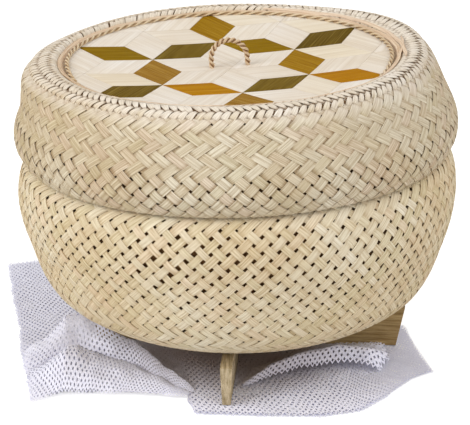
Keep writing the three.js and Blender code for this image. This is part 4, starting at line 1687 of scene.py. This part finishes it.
@dataclass
class FoldedNet:
    """Diamond-mesh net, folded into plies, whose meshes are open."""

    finishes: Finishes
    span: float = 0.22
    mesh_stretch: float = 1.7
    lowest: float = 0.0003
    edge_wobble: float = 0.0016
    edge_pace: float = 95.0
    edge_seeds: Point = (31.0, 57.0)
    broad_pace: Point = (55.0, 75.0)
    fine_pace: Point = (160.0, 200.0)
    slack_share: float = 0.001
    first_seed: float = 11.0
    seed_step: float = 5.0

    LOWER = NetPly(
        front=((-0.421, -0.31), (-0.356, -0.272), (-0.268, -0.266), (-0.1, -0.28), (-0.085, -0.38),
               (0.045, -0.392), (0.18, -0.392), (0.25, -0.368), (0.305, -0.295), (0.36, -0.205),
               (0.412, -0.16)),
        back=((-0.536, 0.464), (-0.47, 0.49), (-0.2, 0.48), (0.1, 0.43), (0.31, 0.33)),
        left=((-0.455, -0.11), (-0.483, 0.11), (-0.513, 0.3)),
        right=((0.4, -0.11), (0.375, 0.04), (0.345, 0.18)),
        profile=((0.0, 0.0, 0.0), (1.0, 1.0, 0.0)), crest=((0.0, 0.0), (1.0, 0.0)),
        reach=0.172, base=0.0012, wrinkle=0.0005,
    )
    UNDER = replace(LOWER, base=0.0004, wrinkle=0.0003, thread=0.00062)
    LEFT_FOLD = NetPly(
        front=((-0.421, -0.326), (-0.356, -0.287), (-0.268, -0.281), (-0.1, -0.291)),
        back=((-0.46, -0.09), (-0.41, -0.05), (-0.36, 0.0), (-0.336, 0.012), (-0.306, -0.004),
              (-0.279, -0.024), (-0.249, -0.044), (-0.216, -0.063), (-0.185, -0.123), (-0.154, -0.181),
              (-0.101, -0.241), (-0.08, -0.268)),
        left=((-0.44, -0.2),), right=(),
        profile=((0.0, 0.0, 0.0), (0.07, 0.05, 0.16), (0.16, 0.13, 0.46), (0.27, 0.27, 0.72),
                 (0.38, 0.43, 0.82), (0.48, 0.57, 0.62), (0.54, 0.66, 0.16), (0.6, 0.67, 0.34),
                 (0.74, 0.8, 0.78), (0.9, 0.95, 1.04), (1.0, 1.02, 0.7)),
        crest=((0.0, 0.002), (0.12, 0.007), (0.24, 0.0145), (0.3, 0.0142), (0.36, 0.0112),
               (0.45, 0.0092), (0.524, 0.0078), (0.658, 0.0066), (0.788, 0.0056), (0.93, 0.003),
               (1.0, 0.0004)),
        reach=0.062, base=0.0007, wrinkle=0.0012,
    )
    RIGHT_FOLD = NetPly(
        front=((0.006, -0.258), (0.06, -0.226), (0.131, -0.188), (0.2, -0.166), (0.25, -0.163),
               (0.3, -0.172)),
        back=((0.03, -0.16), (0.09, -0.1), (0.15, -0.05), (0.22, -0.02), (0.315, -0.005)),
        left=(), right=((0.322, -0.12),),
        profile=((0.0, 0.0, 0.1), (0.14, 0.04, 0.5), (0.3, 0.1, 0.94), (0.37, 0.15, 1.0),
                 (0.44, 0.23, 0.9), (0.6, 0.45, 0.5), (0.8, 0.72, 0.3), (1.0, 1.0, 0.1)),
        crest=((0.0, 0.0006), (0.15, 0.005), (0.33, 0.0078), (0.5, 0.0092), (0.7, 0.0094),
               (0.9, 0.0092), (0.955, 0.007), (1.0, 0.0008)),
        reach=0.036, base=0.0018, wrinkle=0.0010,
    )

    @staticmethod
    def along(line: Sequence[Point], share: ndarray) -> ndarray:
        """Points at shares of a line's length.

        Args:
            line: Points of the line.
            share: Shares of its length.

        Returns:
            Rows of points.
        """
        points = np.array(line)
        runs = runs_along(points)
        return np.column_stack([np.interp(share * runs[-1], runs, points[:, axis]) for axis in (0, 1)])

    def plan(self, ply: NetPly, u: ndarray, v: ndarray) -> ndarray:
        """Plan points of a ply.

        Args:
            ply: The ply.
            u: Shares to the right.
            v: Shares to the back.

        Returns:
            Rows of points in metres.
        """
        left = (ply.front[0], *ply.left, ply.back[0])
        right = (ply.front[-1], *ply.right, ply.back[-1])
        rows = self.along(ply.front, u) * (1 - v)[:, None] + self.along(ply.back, u) * v[:, None]
        sides = self.along(left, v) * (1 - u)[:, None] + self.along(right, v) * u[:, None]
        corners = (
            np.outer((1 - u) * (1 - v), ply.front[0]) + np.outer(u * (1 - v), ply.front[-1])
            + np.outer((1 - u) * v, ply.back[0]) + np.outer(u * v, ply.back[-1])
        )
        return (rows + sides - corners) * self.span

    def lay_ply(self, mesher: Mesher, ply: NetPly, seed: float) -> None:
        """Lays one ply as a diamond mesh and opens its meshes.

        Args:
            mesher: Collects the ply.
            ply: Its edges and rise.
            seed: Number of its wrinkles.
        """
        width = max(runs_along(np.array(edge))[-1] for edge in (ply.front, ply.back)) * self.span
        depth = ply.reach / self.mesh_stretch
        reach = (width + depth) / math.sqrt(2)
        cells = int(reach / ply.pitch)
        bm = bmesh.new()
        bmesh.ops.create_grid(bm, x_segments=cells, y_segments=cells, size=reach / 2)
        bmesh.ops.translate(bm, verts=bm.verts[:], vec=(reach / 2, reach / 2 - width / math.sqrt(2), 0.0))
        bmesh.ops.rotate(bm, verts=bm.verts[:], matrix=Matrix.Rotation(math.radians(45.0), 3, "Z"))
        u, v = self.shares(bm, width, depth)
        beyond = 0.5 + self.slack_share
        inside = (abs(u - 0.5) < beyond) & (abs(v - 0.5) < beyond)
        outside = [vert for vert, kept in zip(bm.verts, inside) if not kept]
        bmesh.ops.delete(bm, geom=outside, context="VERTS")
        bmesh.ops.inset_individual(bm, faces=bm.faces[:], thickness=ply.thread, use_even_offset=True)
        self.open_meshes(bm)
        u, v = (np.clip(values, 0, 1) for values in self.shares(bm, width, depth))
        runs, places, rises = zip(*ply.profile)
        plan = self.plan(ply, u, np.interp(v, runs, places))
        plan = plan + self.edge_wobble * np.column_stack([
            self.ripples(plan, (self.edge_pace, self.edge_pace), seed + side) for side in self.edge_seeds
        ])
        shares, heights = zip(*ply.crest)
        rise = np.interp(v, runs, rises) * np.interp(u, shares, heights)
        ripple = self.ripples(plan, self.broad_pace, seed) + self.ripples(plan, self.fine_pace, seed) / 2
        level = ply.base + rise + ply.wrinkle * (0.5 + ripple)
        for vert, (x, y), z in zip(bm.verts, plan, level):
            vert.co = (x, y, max(z, self.lowest))
        bmesh.ops.recalc_face_normals(bm, faces=bm.faces[:])
        part = mesh_of(bm, "net_part")
        mesher.bm.from_mesh(part)
        bpy.data.meshes.remove(part)

    @staticmethod
    def shares(bm: BMesh, width: float, depth: float) -> tuple[ndarray, ndarray]:
        """Shares to the right and to the back of a flat ply's vertices."""
        spots = np.array([(vert.co.x, vert.co.y) for vert in bm.verts])
        return spots[:, 0] / width, spots[:, 1] / depth

    @staticmethod
    def ripples(plan: ndarray, pace: Point, seed: float) -> ndarray:
        """Soft noise over a plan, with its pace to the right and to the back."""
        return np.array([noise.noise(Vector((x * pace[0], y * pace[1], seed))) for x, y in plan])

    @staticmethod
    def open_meshes(bm: BMesh) -> None:
        """Removes the middle face of each inset mesh.

        Args:
            bm: The ply, with its faces inset.
        """
        middles = [f for f in bm.faces if all(len(e.link_faces) == 2 for e in f.edges)
                   and all(len(v.link_faces) == 3 for v in f.verts)]
        bmesh.ops.delete(bm, geom=middles, context="FACES_ONLY")

    def build(self) -> Object:
        """Builds the net.

        Returns:
            The object.
        """
        mesher = Mesher("steaming_net")
        for number, ply in enumerate((self.UNDER, self.LOWER, self.LEFT_FOLD, self.RIGHT_FOLD)):
            self.lay_ply(mesher, ply, self.first_seed + number * self.seed_step)
        net = mesher.finished(Body.NET, self.finishes.net, "net_white")
        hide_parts("net_liner")
        return net


@dataclass
class BasketBody:
    """Body: outer layer turned over the rim, inner layer, floor and underside."""

    shape: BasketShape
    finishes: Finishes
    fold: float = 0.008
    lay_angles: Line = ((0.0, 45.0), (0.6, 45.0), (0.75, 41.0), (1.0, 41.0))
    width_shares: Line = (
        (0.0, 1.08), (0.16, 1.04), (0.22, 0.98), (0.34, 0.95), (0.45, 0.94), (0.6, 0.95),
        (0.72, 1.01), (1.0, 1.2),
    )
    inner_gap: float = 0.00055
    inner_strip_width: float = 0.0048
    rim_clearance: float = 0.0005
    floor_radius: float = 0.0575
    floor_level: float = 0.02625
    underside_radius: float = 0.0582
    underside_level: float = 0.0219

    def build(self) -> None:
        """Builds the body's pieces."""
        shape, finishes = self.shape, self.finishes
        near, far = shape.depths()
        line = shape.body_line()
        outer = WovenWall(
            "body_outer", Surface(line.folded(near, far, self.fold), shape.tilted), Body.BASKET,
            finishes.body, "straw", lay_angles=self.lay_angles, width_shares=self.width_shares,
            unevenness=0.14, weave_depth=0.00024, plain_rows=(15, 29), shaded_from=0.73, seed=1,
        ).build()
        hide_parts("body_outer_wall")
        inside = line.offset(shape.wall + self.inner_gap)
        inside = inside.upto(line.runs[-1] - self.fold - self.rim_clearance)
        WovenWall(
            "body_inner", Surface(inside, shape.tilted), Body.BASKET, finishes.inside,
            "straw_inner", strip_width=self.inner_strip_width, rows_per_crossing=3, seed=2,
        ).build()
        WovenDisc("body_floor", self.floor_radius, ((0.0, self.floor_level),), as_is, Body.BASKET,
                  finishes.inside, "straw_inner", seed=5).build()
        WovenDisc("body_underside", self.underside_radius, ((0.0, self.underside_level),), as_is,
                  Body.BASKET, finishes.body, "straw", seed=6).build()


@dataclass
class BasketLid:
    """Lid: outer layer turned over the lip, band on the crest, inner layer and lining."""

    shape: BasketShape
    finishes: Finishes
    fold: float = 0.006
    lay_angles: Line = (
        (0.0, 66.0), (0.1, 62.0), (0.19, 52.0), (0.26, 36.0), (0.33, 33.0), (0.54, 35.0),
        (0.6, 42.0), (1.0, 44.0),
    )
    width_shares: Line = (
        (0.0, 1.25), (0.1, 1.2), (0.2, 1.0), (0.48, 1.0), (0.57, 0.9), (0.66, 0.88), (0.78, 0.89),
        (0.84, 1.0), (1.0, 1.0),
    )
    crest_width: float = 0.0152
    crest_proud: float = 0.0002
    crest_sunk: float = 0.0016
    crest_angles: Line = ((0.0, 56.0), (0.4, 54.0), (1.0, 50.0))
    inner_corner_shares: Line = ((0.79, 0.775), (0.84, 0.755), (0.872, 0.70))
    inner_from_share: float = 0.66
    inner_gap: float = 0.00125
    inner_stop: float = 0.0065
    inner_angles: Line = ((0.0, 36.0), (0.5, 40.0), (1.0, 45.0))
    inner_strip_width: float = 0.0048
    lining_radius: float = 0.0795
    lining_levels: Line = ((0.0, 0.12645), (0.0592, 0.12865), (0.0796, 0.1314))

    def inner_line(self, line: Meridian, depth: float) -> Meridian:
        """Line of the inner layer, from its corner under the cap to near the lip.

        Args:
            line: Outside line of the lid.
            depth: Depth of the inner layer below it.

        Returns:
            The line.
        """
        shape = self.shape
        highest = shape.lid_seat + self.inner_from_share * shape.lid_rise
        side = [(r, z) for r, z in line.offset(depth).points[::8] if z < highest]
        corners = [*shape.lid_corners(self.inner_corner_shares), *side]
        inside = Meridian.through(corners, Side.LEFT, steps=4).offset(self.inner_gap)
        return inside.upto(inside.runs[-1] - self.inner_stop)

    def build(self) -> None:
        """Builds the lid's woven pieces."""
        shape, finishes = self.shape, self.finishes
        near, far = shape.depths()
        line = shape.lid_line()
        outer = WovenWall(
            "lid_outer", Surface(line.folded(near, far, self.fold), shape.swollen), Body.LID,
            finishes.lid, "straw", strip_count=84, strip_width=0.0044, slant_width_step=0.0001,
            lay_angles=self.lay_angles, width_shares=self.width_shares, pair_middle=1.5,
            plain_rows=(12, 30), unevenness=0.1, shaded_from=0.86, seed=3,
        ).build()
        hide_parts("lid_outer_wall")
        crest = line.capped(self.crest_width, self.crest_proud, self.crest_sunk)
        WovenWall(
            "lid_crest", Surface(crest, shape.swollen), Body.LID, finishes.crest, "straw",
            strip_count=150, strip_width=0.0025, slant_width_step=0.0, weave_depth=0.00036,
            lay_angles=self.crest_angles, pair_middle=3.5, pinched_row=4.5, front_pinch_share=0.9,
            unevenness=0.2, rows_per_crossing=3, seed=8,
        ).build()
        WovenWall(
            "lid_inner", Surface(self.inner_line(line, far), shape.leaning), Body.LID,
            finishes.inside, "straw_inner", strip_width=self.inner_strip_width,
            rows_per_crossing=3, seed=4, lay_angles=self.inner_angles,
        ).build()
        WovenDisc("lid_lining", self.lining_radius, self.lining_levels, shape.leaning, Body.LID,
                  finishes.inside, "straw_inner", seed=7).build()


@dataclass
class PlainSolids:
    """Feet, hoops, lashings, knots and hidden layers, whose solids are seen as they are."""

    finishes: Finishes

    def dress(self, nodes: dict[str, Object]) -> None:
        """Gives the solids their finishes.

        Args:
            nodes: Objects of the frame by name.
        """
        finishes = self.finishes
        dressed = {
            # The hidden layers get the painted shade finish.
            finishes.hidden_layer_shade: ("body_inner_wall", "lid_inner_wall"),
            finishes.hoop: ("body_rim_hoop", "lid_lip_hoop"),
            finishes.slat_painted_lit: ("base_slat_front_back",),
            finishes.slat: ("base_slat_left_right",),
            finishes.lashing: ("base_lashing_right", "base_lashing_back", "base_lashing_left",
                               "base_lashing_front", "handle_knot_left", "handle_knot_right"),
            finishes.panel_ground: ("top_panel",),
        }
        for material, names in dressed.items():
            for name in names:
                nodes[name].data.materials.clear()
                nodes[name].data.materials.append(material)
                LOG.info("%s: %s", name, material.name)


@dataclass
class PhotoCamera:
    """Long lens where the photograph was taken from, with its measures in pixels."""

    focal_pixels: float = 2500.0
    picture_width: float = 470.0
    shift: Point = (-2.0, 3.9)
    sensor_width: float = 36.0
    target_level: float = 0.0638
    away: float = 1.16
    elevation: float = math.radians(20.0)
    clip: Point = (0.05, 20.0)

    def build(self) -> Object:
        """Builds the camera.

        Returns:
            The camera.
        """
        data = bpy.data.cameras.new("photo_camera")
        data.sensor_width = self.sensor_width
        data.lens = self.focal_pixels / self.picture_width * data.sensor_width
        data.shift_x, data.shift_y = (value / self.picture_width for value in self.shift)
        data.clip_start, data.clip_end = self.clip
        camera = placed("photo_camera", data)
        back = Vector((0.0, -math.cos(self.elevation), math.sin(self.elevation)))
        camera.location = Vector((0.0, 0.0, self.target_level)) + self.away * back
        camera.rotation_euler = (math.pi / 2 - self.elevation, 0.0, 0.0)
        bpy.context.scene.camera = camera
        return camera


@dataclass
class Studio:
    """Pale floor, white surroundings and soft plain light."""

    floor_size: float = 8.0
    # Painted shade: within these radii the floor turns brown and stops glowing.
    shade_radius: float = 0.035
    clear_radius: float = 0.065
    key: tuple[Spot, float, float] = ((-1.25, -0.75, 1.0), 1.1, 17.0)
    fill: tuple[Spot, float, float] = ((1.1, -0.85, 1.15), 1.4, 11.5)
    aim_level: float = 0.08
    world_strength: float = 0.62
    floor_glow: float = 0.5
    floor_tone: str = "#eeeeee"
    shade_tone: str = "#6e5444"
    floor_roughness: float = 0.9
    floor_specular: float = 0.1

    def build(self) -> None:
        """Builds the floor, the lamps and the world."""
        scene = bpy.context.scene
        scene.view_settings.view_transform = "Standard"
        self._floor()
        self._lamp("key_lamp", *self.key)
        self._lamp("fill_lamp", *self.fill)
        world = bpy.data.worlds.new("studio_world")
        scene.world = world
        world.use_nodes = True
        wires = Wiring(world.node_tree)
        light_path = wires.node("LightPath").outputs
        seen = wires.sum("MAXIMUM", light_path["Is Camera Ray"], light_path["Is Glossy Ray"])
        seen = wires.sum("MAXIMUM", seen, light_path["Is Transmission Ray"])
        back = world.node_tree.nodes["Background"]
        back.inputs["Color"].default_value = (1.0, 1.0, 1.0, 1.0)
        wires.feed(back.inputs["Strength"], wires.ranged(seen, 0.0, 1.0, self.world_strength, 1.0))

    def _floor(self) -> None:
        """Builds the floor, which shows white apart from the shadow on it and the brown shade painted
        under the basket.
        """
        bm = bmesh.new()
        bmesh.ops.create_grid(bm, x_segments=1, y_segments=1, size=self.floor_size / 2)
        mesh = mesh_of(bm, "studio_floor")
        floor = placed("studio_floor", mesh)
        made, wires, shader = new_material("floor_white")
        away = wires.distance(wires.node("TexCoord").outputs["Object"])
        # Painted shade under the basket, with the glow cut out there.
        clear = wires.ranged(away, self.shade_radius, self.clear_radius)
        tone = wires.mix(clear, paint(self.shade_tone), paint(self.floor_tone))
        wires.feed(shader.inputs["Base Color"], tone)
        wires.feed(shader.inputs["Roughness"], self.floor_roughness)
        wires.feed(shader.inputs["Specular IOR Level"], self.floor_specular)
        light_path = wires.node("LightPath").outputs
        shader.inputs["Emission Color"].default_value = (1.0, 1.0, 1.0, 1.0)
        glow = wires.ranged(light_path["Is Camera Ray"], 0.0, 1.0, 0.0, self.floor_glow)
        wires.feed(shader.inputs["Emission Strength"], wires.sum("MULTIPLY", glow, clear))
        mesh.materials.append(made)

    def _lamp(self, name: str, place: Spot, size: float, energy: float) -> None:
        """Adds a square area lamp that faces the basket.

        Args:
            name: Its name.
            place: Where it stands.
            size: Length of its sides.
            energy: Its power in watts.
        """
        data = bpy.data.lights.new(name, "AREA")
        data.size = size
        data.energy = energy
        lamp = placed(name, data)
        lamp.location = place
        toward = Vector((0.0, 0.0, self.aim_level)) - Vector(place)
        lamp.rotation_euler = toward.to_track_quat("-Z", "Y").to_euler()


def main() -> None:
    """Builds the basket's looks and its studio."""
    logging.basicConfig(level=logging.INFO, format="%(name)s: %(message)s")
    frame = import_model()
    PhotoCamera().build()
    Studio().build()
    finishes = Finishes()
    shape = BasketShape()
    for part in (BasketBody, BasketLid, StarPanel, PanelEdge, LoopHandle):
        part(shape, finishes).build()
    FoldedNet(finishes).build()
    PlainSolids(finishes).dress(frame["nodes"])


if __name__ == "__main__":
    main()
